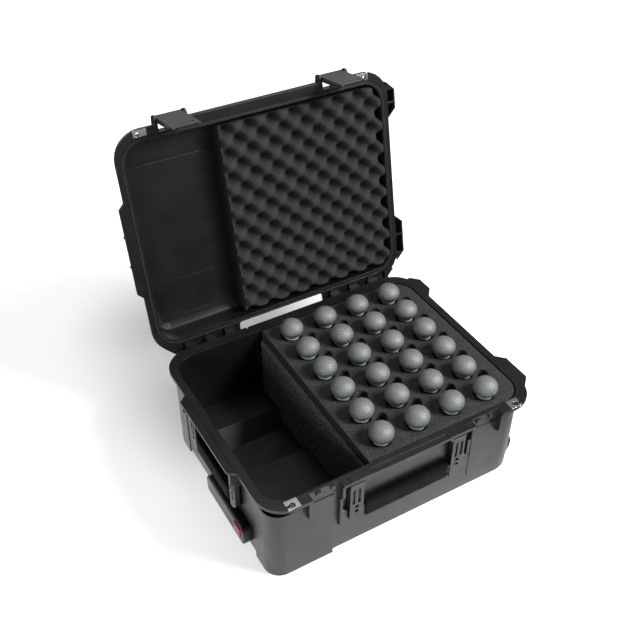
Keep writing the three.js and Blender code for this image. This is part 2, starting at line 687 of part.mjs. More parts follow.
  // Wheel end: bumpers
  const bumperTop = RIM_Z - BUMPER_DROP;
  const bumpers = [
    bumper(-BASE_BUMPER_FRONT_NEAR, -BASE_BUMPER_FRONT_FAR, BUMPER_OUT, -1,
      bumperTop - BUMPER_HEIGHT, bumperTop, -BUMPER_RIB),
    bumper(BASE_BUMPER_BACK_NEAR, BASE_BUMPER_BACK_FAR - BUMPER_SLOPE, BUMPER_OUT, 1,
      bumperTop - BUMPER_HEIGHT, bumperTop, BUMPER_RIB_BACK),
  ];

  // Back: knuckles on webs, and notches in the flange for the lid's knuckles
  let back = [];
  let notches = [];
  for (const group of HINGE_GROUPS) {
    notches.push(box(group.start - GAP, group.end + GAP, HINGE_Y - KNUCKLE_RADIUS - GAP,
      FLANGE_DEPTH / 2 + OVERRUN, FLANGE_BOTTOM_Z - OVERRUN, trimZ));
    for (const [x0, x1] of knuckleSpans(group, true)) {
      back.push(alongX(circle(KNUCKLE_RADIUS, HINGE_Y, HINGE_Z), x0, x1));
      back.push(box(x0, x1, -FRONT_Y - OVERRUN, HINGE_Y, HINGE_Z - KNUCKLE_RADIUS + GAP,
        FLANGE_BOTTOM_Z + FLANGE_THICKNESS / 4));
    }
  }
  shell = join(cut(shell, ...shelfCuts, ...notches), sideShelf, ...sideWalls, ...sideLugs, ...bumpers,
    ...back);

  // Inside: the cavity, less the wells, the tube housing and the step
  const housingTop = CHANNEL_TOP_Z + CHANNEL_WALL;
  const housing = box(CHANNEL_LEFT_X - OVERRUN, CHANNEL_END_X, CHANNEL_FRONT_Y - CHANNEL_WALL,
    CHANNEL_BACK_Y + CHANNEL_WALL, 0, housingTop);
  const stepProfile = polygon([
    [STEP_TOE_Y, FLOOR_TOP_Z], [BASE_DEPTH, FLOOR_TOP_Z], [BASE_DEPTH, STEP_TOP_Z],
    [STEP_TOP_Y, STEP_TOP_Z],
  ]);
  const step = alongX(stepProfile, CHANNEL_LEFT_X - OVERRUN, STEP_END_X);
  const cavityBlock = softBlock(OPENING_LENGTH, OPENING_DEPTH, OPENING_RADIUS, FLOOR_EDGE,
    FLOOR_TOP_Z, RIM_Z + BASE_EDGE * 3);
  const cavity = cut(cavityBlock, housing, step,
    wellBody(WELL_WALL, WELL_WALL, -1), wellBody(WELL_WALL, WELL_WALL, 1));
  const channel = box(CHANNEL_LEFT_X, CHANNEL_END_X - CHANNEL_WALL, CHANNEL_FRONT_Y, CHANNEL_BACK_Y,
    -OVERRUN, CHANNEL_TOP_Z);
  const ribSpans = [
    [CHANNEL_LEFT_X + CHANNEL_END_X / 3, CHANNEL_LEFT_X + CHANNEL_END_X / 3 + CHANNEL_RIB],
    [-CENTRE_FOOT_HALF, CENTRE_FOOT_HALF],
    [CHANNEL_END_X - CHANNEL_WALL - CHANNEL_RIB * 2, CHANNEL_END_X - CHANNEL_WALL - CHANNEL_RIB],
  ];
  const ribs = ribSpans.map(([x0, x1]) => box(x0, x1, CHANNEL_FRONT_Y - OVERRUN,
    CHANNEL_BACK_Y + OVERRUN, -OVERRUN, CHANNEL_TOP_Z + OVERRUN));
  const stepHollow = alongX(polygon([
    [STEP_TOE_Y + 2 * STEP_WALL, -OVERRUN], [BASE_DEPTH / 2 - STEP_WALL - BASE_EDGE / 2, -OVERRUN],
    [BASE_DEPTH / 2 - STEP_WALL - BASE_EDGE / 2, STEP_TOP_Z - STEP_WALL],
    [STEP_TOP_Y + STEP_WALL / 2, STEP_TOP_Z - STEP_WALL], [STEP_TOE_Y + 2 * STEP_WALL, FOOT_HEIGHT],
  ]), -FOOT_INNER_X, STEP_END_X - STEP_WALL);
  const bores = [TUBE_FRONT_Y, TUBE_BACK_Y].map((y) => alongX(
    circle(boreRadius(SLEEVE_RADIUS), y, TUBE_Z), -END_X - OVERRUN, CHANNEL_END_X - CHANNEL_WALL - GAP));
  shell = cut(shell, cavity, cut(channel, ...ribs), stepHollow, wellBody(0, 0, -1), wellBody(0, 0, 1),
    ...bores);

  // Holes: hinge pins, handle pins, axles, padlocks and the seats of the padlock plates
  const holes = HINGE_GROUPS.map(hingeBore);
  for (const s of [-1, 1]) {
    const pinEnd = LATCH_BAY_INNER_X - FIN_THICKNESS / 2;
    const pinStart = FRONT_ARM_INNER_X - LUG_THICKNESS / 2 - GAP;
    holes.push(alongX(circle(boreRadius(HANDLE_PIN_RADIUS), FRONT_Y - HANDLE_PIVOT_OUT, HANDLE_PIVOT_Z),
      Math.min(s * (pinEnd + GAP), s * (pinStart - GAP)), Math.max(s * (pinEnd + GAP), s * (pinStart - GAP))));
    const sideEnd = SIDE_BRACKET_INNER_Y + FIN_THICKNESS / 2;
    const sideStart = SIDE_ARM_INNER_Y - LUG_THICKNESS / 2 - GAP;
    holes.push(alongY(circle(boreRadius(HANDLE_PIN_RADIUS), -END_X - HANDLE_PIVOT_OUT, HANDLE_PIVOT_Z),
      Math.min(s * (sideEnd + GAP), s * (sideStart - GAP)),
      Math.max(s * (sideEnd + GAP), s * (sideStart - GAP))));
    const axleIn = WHEEL_INNER_Y - WELL_SIDE_CLEARANCE - AXLE_SEAT - GAP;
    const axleOut = WHEEL_OUTER_Y + WELL_SIDE_CLEARANCE + AXLE_SEAT + GAP;
    holes.push(alongY(circle(boreRadius(AXLE_RADIUS), WHEEL_X, WHEEL_Z),
      Math.min(s * axleIn, s * axleOut), Math.max(s * axleIn, s * axleOut)));
    const plateY = FLANGE_FRONT_Y + PLATE_FRONT_INSET;
    holes.push(box(s * (PLATE_INNER_X - GAP), s * (PLATE_INNER_X + PLATE_LENGTH + GAP),
      plateY - GAP, plateY + PLATE_DEPTH + GAP, RIM_Z - PLATE_THICKNESS - GAP, trimZ));
    holes.push(upright(circle(PADLOCK_HOLE_RADIUS, s * PADLOCK_HOLE_X, padlockY()),
      FLANGE_BOTTOM_Z - OVERRUN, trimZ));
  }
  return cut(shell, ...holes);
}

function padlockY() {
  return (FLANGE_FRONT_Y + FRONT_Y) / 2;
}

addMesh(part, 'base_shell', buildBase(), shellPlastic);

for (const group of HINGE_GROUPS) {
  addMesh(part, `hinge_pin_${group.name}`,
    alongX(circle(HINGE_PIN_RADIUS, HINGE_Y, HINGE_Z), group.start, group.end), steel);
}

// Padlock plates on the container's rim, each with a notch open to the corner
for (const [name, s] of [['left', -1], ['right', 1]]) {
  const y0 = FLANGE_FRONT_Y + PLATE_FRONT_INSET;
  const plate = box(s * PLATE_INNER_X, s * (PLATE_INNER_X + PLATE_LENGTH), y0, y0 + PLATE_DEPTH,
    RIM_Z - PLATE_THICKNESS, RIM_Z);
  const hole = upright(circle(PLATE_NOTCH_RADIUS, s * PADLOCK_HOLE_X, padlockY()),
    RIM_Z - PLATE_THICKNESS - OVERRUN, RIM_Z + OVERRUN);
  const mouth = box(s * PADLOCK_HOLE_X, s * (PLATE_INNER_X + PLATE_LENGTH + OVERRUN),
    padlockY() - PLATE_NOTCH_RADIUS / 2, padlockY() + PLATE_NOTCH_RADIUS / 2,
    RIM_Z - PLATE_THICKNESS - OVERRUN, RIM_Z + OVERRUN);
  addMesh(part, `padlock_base_${name}`, cut(plate, hole, mouth), steel);
}

// Carrying handle: two arms and a bar in one piece, hanging from its pivot at the origin.
// It is drawn as at the front, with its length along X and its face towards -Y.
function handleFrame(armInner, armOuter) {
  const half = ARM_THICKNESS / 2;
  const profile = [];
  for (let i = 0; i <= ARC_STEPS; i += 1) {
    const angle = Math.PI * i / ARC_STEPS;
    profile.push([ARM_END_RADIUS * Math.cos(angle), ARM_END_RADIUS * Math.sin(angle)]);
  }
  profile.push([-half, -ARM_END_RADIUS], [-half, -ARM_REACH], [half, -ARM_REACH], [half, -ARM_END_RADIUS]);
  const arms = [];
  for (const s of [-1, 1]) {
    const x0 = Math.min(s * armInner, s * armOuter);
    const x1 = Math.max(s * armInner, s * armOuter);
    const chamfer = alongY(polygon([
      [s * armOuter, -ARM_REACH + ARM_CHAMFER], [s * (armOuter + OVERRUN), -ARM_REACH + ARM_CHAMFER],
      [s * (armOuter + OVERRUN), -ARM_REACH - OVERRUN], [s * (armOuter - ARM_CHAMFER), -ARM_REACH - OVERRUN],
      [s * (armOuter - ARM_CHAMFER), -ARM_REACH],
    ]), -ARM_THICKNESS, ARM_THICKNESS);
    const width = armOuter - armInner;
    const tools = [chamfer];
    for (const share of [0.25, 0.65]) {
      const x = armInner + share * width;
      tools.push(box(s * x, s * (x + ARM_GROOVE), -half - OVERRUN, -half + ARM_GROOVE_DEPTH,
        -ARM_GROOVE_BOTTOM, -ARM_GROOVE_TOP));
    }
    for (const step of [0, 1]) {
      const z = -ARM_WINDOW_DROP - step * ARM_WINDOW_PITCH;
      const x = (armInner + armOuter) / 2;
      tools.push(box(s * x - ARM_WINDOW / 2, s * x + ARM_WINDOW / 2, -half - OVERRUN, half + OVERRUN,
        z - ARM_WINDOW / 2, z + ARM_WINDOW / 2));
    }
    tools.push(alongX(circle(boreRadius(HANDLE_PIN_RADIUS)), x0 - OVERRUN, x1 + OVERRUN));
    arms.push(cut(alongX(polygon(profile), x0, x1), ...tools));
  }
  const bar = box(-armInner - OVERRUN, armInner + OVERRUN, -HANDLE_BAR_THICKNESS / 2,
    HANDLE_BAR_THICKNESS / 2, -HANDLE_BAR_DROP - HANDLE_BAR_HEIGHT / 2,
    -HANDLE_BAR_DROP + HANDLE_BAR_HEIGHT / 2);
  return join(...arms, bar);
}

function handleGrip(armInner) {
  const half = armInner - GRIP_END_GAP;
  const outline = roundedRect(GRIP_THICKNESS, GRIP_HEIGHT, GRIP_RADIUS);
  const sleeve = alongX(outline, -half, half).translate(0, 0, -HANDLE_BAR_DROP);
  const bore = box(-half - OVERRUN, half + OVERRUN, -HANDLE_BAR_THICKNESS / 2 - GAP,
    HANDLE_BAR_THICKNESS / 2 + GAP, -HANDLE_BAR_DROP - HANDLE_BAR_HEIGHT / 2 - GAP,
    -HANDLE_BAR_DROP + HANDLE_BAR_HEIGHT / 2 + GAP);
  return cut(sleeve, bore);
}

function handleAt(x, y, turn) {
  const group = new THREE.Group();
  group.position.set(x, y, HANDLE_PIVOT_Z);
  group.rotation.z = turn;
  part.add(group);
  return group;
}

const frontHandle = handleAt(0, FRONT_Y - HANDLE_PIVOT_OUT, 0);
addMesh(frontHandle, 'front_handle_frame', handleFrame(FRONT_ARM_INNER_X, FRONT_ARM_OUTER_X), shellPlastic);
addMesh(frontHandle, 'front_handle_grip', handleGrip(FRONT_ARM_INNER_X), gripRubber);
for (const [name, s] of [['left', -1], ['right', 1]]) {
  const pinEnd = LATCH_BAY_INNER_X - FIN_THICKNESS / 2;
  const pinStart = FRONT_ARM_INNER_X - LUG_THICKNESS / 2 - GAP;
  addMesh(frontHandle, `front_handle_pin_${name}`, alongX(circle(HANDLE_PIN_RADIUS),
    Math.min(s * pinStart, s * pinEnd), Math.max(s * pinStart, s * pinEnd)), steel);
}

const sideHandle = handleAt(-END_X - HANDLE_PIVOT_OUT, 0, -Math.PI / 2);
addMesh(sideHandle, 'side_handle_frame', handleFrame(SIDE_ARM_INNER_Y, SIDE_ARM_OUTER_Y), shellPlastic);
addMesh(sideHandle, 'side_handle_grip', handleGrip(SIDE_ARM_INNER_Y), gripRubber);
for (const [name, s] of [['front', 1], ['back', -1]]) {
  const pinEnd = SIDE_BRACKET_INNER_Y + FIN_THICKNESS / 2;
  const pinStart = SIDE_ARM_INNER_Y - LUG_THICKNESS / 2 - GAP;
  addMesh(sideHandle, `side_handle_pin_${name}`, alongX(circle(HANDLE_PIN_RADIUS),
    Math.min(s * pinStart, s * pinEnd), Math.max(s * pinStart, s * pinEnd)), steel);
}

// Pull handle: a bar on two tubes that slide out of fixed sleeves under the floor
const PULL_BAR_X = -END_X - GAP;
{
  const middleZ = (PULL_BAR_BOTTOM_Z + PULL_BAR_TOP_Z) / 2;
  const middleX = PULL_BAR_X - PULL_BAR_THICKNESS / 2;
  const section = roundedRect(PULL_BAR_THICKNESS, PULL_BAR_TOP_Z - PULL_BAR_BOTTOM_Z, PULL_BAR_EDGE);
  const side = alongX(
    roundedRect(PULL_BAR_BACK_Y - PULL_BAR_FRONT_Y, PULL_BAR_TOP_Z - PULL_BAR_BOTTOM_Z, PULL_BAR_END),
    PULL_BAR_X - PULL_BAR_THICKNESS - OVERRUN, PULL_BAR_X + OVERRUN);
  const bar = common(
    alongY(section, PULL_BAR_FRONT_Y, PULL_BAR_BACK_Y).translate(middleX, 0, middleZ),
    side.translate(0, (PULL_BAR_FRONT_Y + PULL_BAR_BACK_Y) / 2, middleZ));
  const scoopY = (TUBE_FRONT_Y + TUBE_BACK_Y) / 2;
  const scoop = box(PULL_BAR_X - PULL_SCOOP_DEPTH, PULL_BAR_X + OVERRUN, scoopY - PULL_SCOOP_HALF,
    scoopY + PULL_SCOOP_HALF, PULL_BAR_BOTTOM_Z - OVERRUN, PULL_SCOOP_TOP_Z);
  const faceX = PULL_BAR_X - PULL_BAR_THICKNESS;
  const pocketX = faceX + BUTTON_SEAT + BUTTON_TRAVEL + GAP;
  const pocket = box(faceX - OVERRUN, pocketX, BUTTON_FRONT_Y - GAP, BUTTON_BACK_Y + GAP,
    BUTTON_BOTTOM_Z - GAP, BUTTON_TOP_Z + GAP);
  const seats = [TUBE_FRONT_Y, TUBE_BACK_Y].map((y) => alongX(
    circle(boreRadius(TUBE_RADIUS), y, TUBE_Z), PULL_BAR_X - TUBE_SEAT - GAP, PULL_BAR_X + OVERRUN));
  addMesh(part, 'pull_handle_grip', cut(bar, scoop, pocket, ...seats), gripRubber);

  const width = BUTTON_BACK_Y - BUTTON_FRONT_Y;
  const height = BUTTON_TOP_Z - BUTTON_BOTTOM_Z;
  const face = new THREE.Matrix4().makeBasis(
    new THREE.Vector3(0, 1, 0), new THREE.Vector3(0, 0, 1), new THREE.Vector3(1, 0, 0));
  const cap = softBlock(width, height, BUTTON_EDGE * 2, BUTTON_EDGE, 0,
    BUTTON_PROUD + BUTTON_SEAT + BUTTON_EDGE);
  cap.applyMatrix4(face).translate(faceX - BUTTON_PROUD, (BUTTON_FRONT_Y + BUTTON_BACK_Y) / 2,
    (BUTTON_BOTTOM_Z + BUTTON_TOP_Z) / 2);
  const trim = box(faceX + BUTTON_SEAT, faceX + BUTTON_SEAT + OVERRUN * 2, PULL_BAR_FRONT_Y,
    PULL_BAR_BACK_Y, 0, RIM_Z);
  addMesh(part, 'pull_handle_button', cut(cap, trim), redPlastic);

  for (const [name, y] of [['front', TUBE_FRONT_Y], ['back', TUBE_BACK_Y]]) {
    const start = PULL_BAR_X - TUBE_SEAT;
    addMesh(part, `pull_tube_${name}`,
      alongX(circle(TUBE_RADIUS, y, TUBE_Z), start, start + TUBE_LENGTH), tubeMetal);
    const ring = cut(
      alongX(circle(SLEEVE_RADIUS, y, TUBE_Z), -END_X, -END_X + SLEEVE_LENGTH),
      alongX(circle(boreRadius(TUBE_RADIUS), y, TUBE_Z), -END_X - OVERRUN, -END_X + SLEEVE_LENGTH + OVERRUN));
    addMesh(part, `pull_sleeve_${name}`, ring, shellPlastic);
  }
}

// Wheels: a rounded tread, a dished face and a hub, turned about the axle
for (const [name, s] of [['front', -1], ['back', 1]]) {
  const half = WHEEL_WIDTH / 2;
  const bore = boreRadius(AXLE_RADIUS, WHEEL_SIDES);
  const hubHalf = half + HUB_PROUD;
  const rows = [
    [bore, -hubHalf], [HUB_RADIUS, -hubHalf], [HUB_RADIUS, -half + RIM_DISH],
    [RIM_RADIUS, -half + RIM_DISH], [RIM_RADIUS + RIM_DISH, -half],
    [WHEEL_RADIUS - TREAD_EDGE, -half], [WHEEL_RADIUS, -half + TREAD_EDGE],
    [WHEEL_RADIUS, half - TREAD_EDGE], [WHEEL_RADIUS - TREAD_EDGE, half], [RIM_RADIUS + RIM_DISH, half],
    [RIM_RADIUS, half - RIM_DISH], [HUB_RADIUS, half - RIM_DISH], [HUB_RADIUS, hubHalf], [bore, hubHalf],
    [bore, -hubHalf],
  ];
  const tyre = new THREE.LatheGeometry(rows.map(([r, y]) => new THREE.Vector2(r, y)), WHEEL_SIDES);
  const wheel = addMesh(part, `wheel_${name}`, tyre, tyreRubber);
  wheel.position.set(WHEEL_X, s * (WHEEL_OUTER_Y + WHEEL_INNER_Y) / 2, WHEEL_Z);
  const axleIn = WHEEL_INNER_Y - WELL_SIDE_CLEARANCE - AXLE_SEAT;
  const axleOut = WHEEL_OUTER_Y + WELL_SIDE_CLEARANCE + AXLE_SEAT;
  addMesh(part, `wheel_axle_${name}`, alongY(circle(AXLE_RADIUS, WHEEL_X, WHEEL_Z),
    Math.min(s * axleIn, s * axleOut), Math.max(s * axleIn, s * axleOut)), steel);
}

// Foam: outline of the block from above, open at the left where the empty compartment is
function foamOutline(leftX) {
  const x = FOAM_RIGHT_X;
  const y = FOAM_HALF_DEPTH;
  const shape = new THREE.Shape();
  shape.moveTo(leftX, -y);
  shape.lineTo(x - FOAM_CORNER, -y);
  shape.absarc(x - FOAM_CORNER, -y + FOAM_CORNER, FOAM_CORNER, -Math.PI / 2, 0, false);
  shape.lineTo(x, y - FOAM_CORNER);
  shape.absarc(x - FOAM_CORNER, y - FOAM_CORNER, FOAM_CORNER, 0, Math.PI / 2, false);
  shape.lineTo(leftX, y);
  shape.lineTo(leftX, -y);
  return shape;
}

const micPlaces = [];
for (let column = 0; column < MIC_COLUMNS; column += 1) {
  for (let row = 0; row < MIC_ROWS; row += 1) {
    micPlaces.push({
      name: `mic_${column + 1}_${row + 1}`,
      x: MIC_FIRST_X + column * MIC_PITCH_X,
      y: MIC_FIRST_Y - row * MIC_PITCH_Y,
    });
  }
}

const foamSeam = RIM_Z - FOAM_TOP_THICKNESS;
{
  const thumb = THUMB_ANGLE * DEGREE;
  const dx = Math.cos(thumb);
  const dy = Math.sin(thumb);
  const pockets = [];
  for (const { x, y } of micPlaces) {
    const z0 = foamSeam - OVERRUN;
    const z1 = RIM_Z + OVERRUN;
    // The thumb notches of the back row are shorter, so that the foam keeps its back edge
    const reach = Math.min(THUMB_REACH, (FOAM_HALF_DEPTH - THUMB_EDGE - THUMB_RADIUS - y) / dy);
    pockets.push(upright(circle(POCKET_RADIUS, x, y, 2 * ARC_STEPS + 4), z0, z1));
    pockets.push(upright(circle(THUMB_RADIUS, x + reach * dx, y + reach * dy, 2 * ARC_STEPS), z0, z1));
    const across = THUMB_RADIUS * Math.cos(Math.PI / 4);
    pockets.push(upright(polygon([
      [x + across * dy, y - across * dx],
      [x + reach * dx + across * dy, y + reach * dy - across * dx],
      [x + reach * dx - across * dy, y + reach * dy + across * dx],
      [x - across * dy, y + across * dx],
    ]), z0, z1));
  }
  addMesh(part, 'foam_top', cut(upright(foamOutline(FOAM_LEFT_X), foamSeam + GAP / 2, RIM_Z), ...pockets),
    foamBlack);
}

const micTop = RIM_Z + MIC_HEAD_RISE + MIC_DOME_HEIGHT;
const micFoot = micTop - MIC_LENGTH;
{
  // The stack's free side is wavy: each layer bulges a little
  const side = [];
  const layers = Math.round((foamSeam - FLOOR_TOP_Z) / STACK_LAYER);
  const layer = (foamSeam - GAP / 2 - FLOOR_TOP_Z - GAP) / layers;
  const bottom = FLOOR_TOP_Z + GAP;
  for (let i = 0; i <= layers * 2; i += 1) {
    side.push([STACK_LEFT_X - (i % 2) * STACK_WAVE, bottom + i * layer / 2]);
  }
  side.push([0, foamSeam - GAP / 2], [0, bottom]);
  const wavy = alongY(polygon(side.reverse()), -FOAM_HALF_DEPTH, FOAM_HALF_DEPTH);
  const body = upright(foamOutline(-FLOOR_TOP_Z), bottom, foamSeam - GAP / 2);
  const cushion = join(wavy, body);
  const room = softBlock(OPENING_LENGTH - 2 * GAP, OPENING_DEPTH - 2 * GAP, OPENING_RADIUS - GAP,
    FLOOR_EDGE, bottom, RIM_Z + FLANGE_RADIUS);
  const bores = micPlaces.map(({ x, y }) => upright(
    circle(boreRadius(MIC_BODY_RADIUS), x, y), micFoot - GAP, foamSeam + OVERRUN));
  const housingNotch = box(STACK_LEFT_X - STACK_LAYER, CHANNEL_END_X + FOAM_NOTCH_GAP,
    CHANNEL_FRONT_Y - CHANNEL_WALL - FOAM_NOTCH_GAP, CHANNEL_BACK_Y + CHANNEL_WALL + FOAM_NOTCH_GAP,
    0, CHANNEL_TOP_Z + CHANNEL_WALL + FOAM_NOTCH_GAP);
  const grow = WELL_WALL + FOAM_NOTCH_GAP;
  addMesh(part, 'foam_stack', cut(common(cushion, room), ...bores, housingNotch,
    wellBody(grow, grow, -1), wellBody(grow, grow, 1)), foamBlack);
}

// Microphones: ball head with a band, neck ring and a tapering body
for (const { name, x, y } of micPlaces) {
  const head = RIM_Z + MIC_HEAD_RISE;
  const rows = [[0, micFoot], [MIC_TAIL_RADIUS, micFoot]];
  rows.push([MIC_BODY_RADIUS, head - MIC_BODY_TOP_DROP]);
  rows.push([MIC_NECK_RADIUS, head - MIC_NECK_DROP - MIC_RING_HEIGHT]);
  rows.push([MIC_NECK_RADIUS, head - MIC_NECK_DROP], [MIC_HEAD_RADIUS, head - MIC_BAND_DROP]);
  for (const angle of MIC_DOME_ANGLES) {
    rows.push([MIC_HEAD_RADIUS * Math.cos(angle * DEGREE), head + MIC_DOME_HEIGHT * Math.sin(angle * DEGREE)]);
  }
  rows.push([0, head + MIC_DOME_HEIGHT]);
  const body = new THREE.LatheGeometry(rows.map(([r, z]) => new THREE.Vector2(r, z)), MIC_SIDES);
  body.rotateX(Math.PI / 2).translate(x, y, 0);
  addMesh(part, name, body, micGrey);
}

// Lid
// Cuts in the flange's back edge: through between the hinge groups, and partly through along each group.
function backCuts(flangeTop) {
  const outY = FLANGE_DEPTH / 2 + OVERRUN;
  const slope = HINGE_SILL_SLOPE;
  const mouth = upright(polygon([
    [HINGE_LEFT_INNER, HINGE_SILL_Y], [HINGE_RIGHT_INNER, HINGE_SILL_Y],
    [HINGE_RIGHT_INNER + slope, HINGE_SILL_Y + slope], [HINGE_RIGHT_INNER + slope, outY],
    [HINGE_LEFT_INNER - slope, outY], [HINGE_LEFT_INNER - slope, HINGE_SILL_Y + slope],
  ]), LID_Z - OVERRUN, flangeTop + OVERRUN);
  const recesses = HINGE_GROUPS.map((group) => box(group.start, group.end, HINGE_SILL_Y, outY,
    LID_Z - OVERRUN, flangeTop - HINGE_PLATE_THICKNESS));
  return [mouth, ...recesses];
}

function buildLid() {
  const flangeTop = LID_Z + LID_FLANGE_THICKNESS;
  const below = box(-FLANGE_LENGTH, FLANGE_LENGTH, -FLANGE_DEPTH, FLANGE_DEPTH,
    LID_Z - FLANGE_DEPTH, LID_Z + LID_FLANGE_THICKNESS / 2);
  const dome = cut(softBlock(LID_LENGTH, LID_DEPTH, LID_RADIUS, LID_EDGE, LID_Z - LID_EDGE * 3, LID_TOP_Z),
    below);
  const flange = cut(upright(roundedRect(FLANGE_LENGTH, FLANGE_DEPTH, FLANGE_RADIUS), LID_Z, flangeTop),
    ...backCuts(flangeTop));
  const pads = [-1, 1].flatMap((sx) => [-1, 1].map((sy) => upright(
    roundedRect(LID_PAD_LENGTH, LID_PAD_DEPTH, LID_PAD_RADIUS), LID_TOP_Z - LID_EDGE / 2,
    LID_TOP_Z + LID_PAD_PROUD).translate(sx * LID_PAD_X, sy * LID_PAD_Y, 0)));

  // Front edge: a second lip over the flange, with cross ribs, and lugs for the latches
  const lipY = FLANGE_FRONT_Y;
  const frontPieces = [box(-LIP_HALF, LIP_HALF, lipY, lipY + LIP_WIDTH, LID_Z, flangeTop + LIP_HEIGHT)];
  for (const x of [LIP_RIB_LEFT_X, LIP_RIB_MID_X, LIP_RIB_RIGHT_X, -LIP_HALF + LIP_RIB, LIP_HALF - LIP_RIB]) {
    frontPieces.push(box(x - LIP_RIB / 2, x + LIP_RIB / 2, lipY, -LID_DEPTH / 2 + OVERRUN, LID_Z,
      flangeTop + LIP_HEIGHT - LIP_DROP / 2));
  }
  const bays = [];
  for (const s of [-1, 1]) {
    const bayHalf = LATCH_WIDTH / 2 + LATCH_LUG_GAP;
    bays.push(box(s * LATCH_X - bayHalf, s * LATCH_X + bayHalf, FLANGE_FRONT_Y - OVERRUN,
      -LID_DEPTH / 2 - LATCH_FLANGE_LIP, LID_Z - OVERRUN, flangeTop + OVERRUN));
    for (const side of [-1, 1]) {
      const a = LATCH_X + side * bayHalf;
      const b = a + side * LATCH_LUG_THICKNESS;
      const pivotZ = RIM_Z + LATCH_PIVOT_RISE;
      const r = LATCH_LUG_RADIUS;
      const outline = [[-LID_DEPTH / 2 + OVERRUN, LID_Z], [-LID_DEPTH / 2 + OVERRUN, pivotZ + r * 2]];
      for (let i = 0; i <= ARC_STEPS; i += 1) {
        const angle = Math.PI / 2 + Math.PI * i / ARC_STEPS / 2;
        outline.push([LATCH_PIVOT_Y + r * Math.cos(angle), pivotZ + r * Math.sin(angle)]);
      }
      outline.push([LATCH_PIVOT_Y - r, LID_Z + LID_FLANGE_THICKNESS / 2], [FLANGE_FRONT_Y, LID_Z]);
      frontPieces.push(alongX(polygon(outline), Math.min(s * a, s * b), Math.max(s * a, s * b)));
    }
  }

  // Ends: bumpers at the wheel end, one low bump at the other
  const bumpers = [
    bumper(-LID_BUMPER_FRONT_NEAR, -LID_BUMPER_FRONT_FAR + BUMPER_SLOPE, LID_BUMPER_OUT, -1,
      LID_Z, LID_Z + LID_BUMPER_HEIGHT, -BUMPER_RIB - BUMPER_SLOPE),
    bumper(LID_BUMPER_BACK_NEAR, LID_BUMPER_BACK_FAR - BUMPER_SLOPE, LID_BUMPER_OUT, 1,
      LID_Z, LID_Z + LID_BUMPER_HEIGHT, BUMPER_RIB),
  ];
  const bumpX = -FLANGE_END_X - LID_BUMP_LEFT_OUT;
  const leftBump = upright(polygon([
    [-FLANGE_END_X + OVERRUN, -LID_BUMP_LEFT_FRONT], [-FLANGE_END_X + OVERRUN, LID_BUMP_LEFT_BACK],
    [-FLANGE_END_X, LID_BUMP_LEFT_BACK], [bumpX, LID_BUMP_LEFT_BACK - LID_BUMP_LEFT_OUT],
    [bumpX, -LID_BUMP_LEFT_FRONT + LID_BUMP_LEFT_OUT], [-FLANGE_END_X, -LID_BUMP_LEFT_FRONT],
  ]), LID_Z, flangeTop);
  const leftRibs = [-LID_BUMP_LEFT_RIB_FRONT, LID_BUMP_LEFT_RIB_BACK].map((y) => box(bumpX,
    -LID_LENGTH / 2 + OVERRUN, y - LID_BUMP_RIB / 2, y + LID_BUMP_RIB / 2, LID_Z, flangeTop + LIP_HEIGHT));

  // Back: a plate over each hinge group with a gusset at its outer end, and arms down to the lid's knuckles
  const back = [];
  const plateY = HINGE_Y + HINGE_PLATE_OUT;
  for (const group of HINGE_GROUPS) {
    const outer = group.name === 'left' ? group.start : group.end;
    const side = Math.sign(outer);
    const inner = (group.name === 'left' ? group.end : group.start) + side * HINGE_SILL_SLOPE;
    back.push(box(inner, outer, HINGE_SILL_Y - OVERRUN, plateY, flangeTop - HINGE_PLATE_THICKNESS, flangeTop));
    const gusset = [[outer - side * OVERRUN, plateY - HINGE_GUSSET], [outer + side * HINGE_GUSSET, plateY - HINGE_GUSSET],
      [outer, plateY], [outer - side * OVERRUN, plateY]];
    back.push(upright(polygon(side > 0 ? gusset : gusset.reverse()), LID_Z, flangeTop));
    for (const [x0, x1] of knuckleSpans(group, false)) {
      back.push(alongX(circle(KNUCKLE_RADIUS, HINGE_Y, HINGE_Z), x0, x1));
      back.push(box(x0, x1, HINGE_Y - KNUCKLE_RADIUS + GAP, HINGE_Y + HINGE_ARM_OUT, HINGE_Z, flangeTop));
      back.push(box(x0, x1, HINGE_SILL_Y - OVERRUN, HINGE_Y, LID_Z, flangeTop));
    }
  }
  let shell = join(dome, flange, ...pads);
  shell = join(cut(shell, ...bays), ...frontPieces, ...bumpers, leftBump, ...leftRibs, ...back);

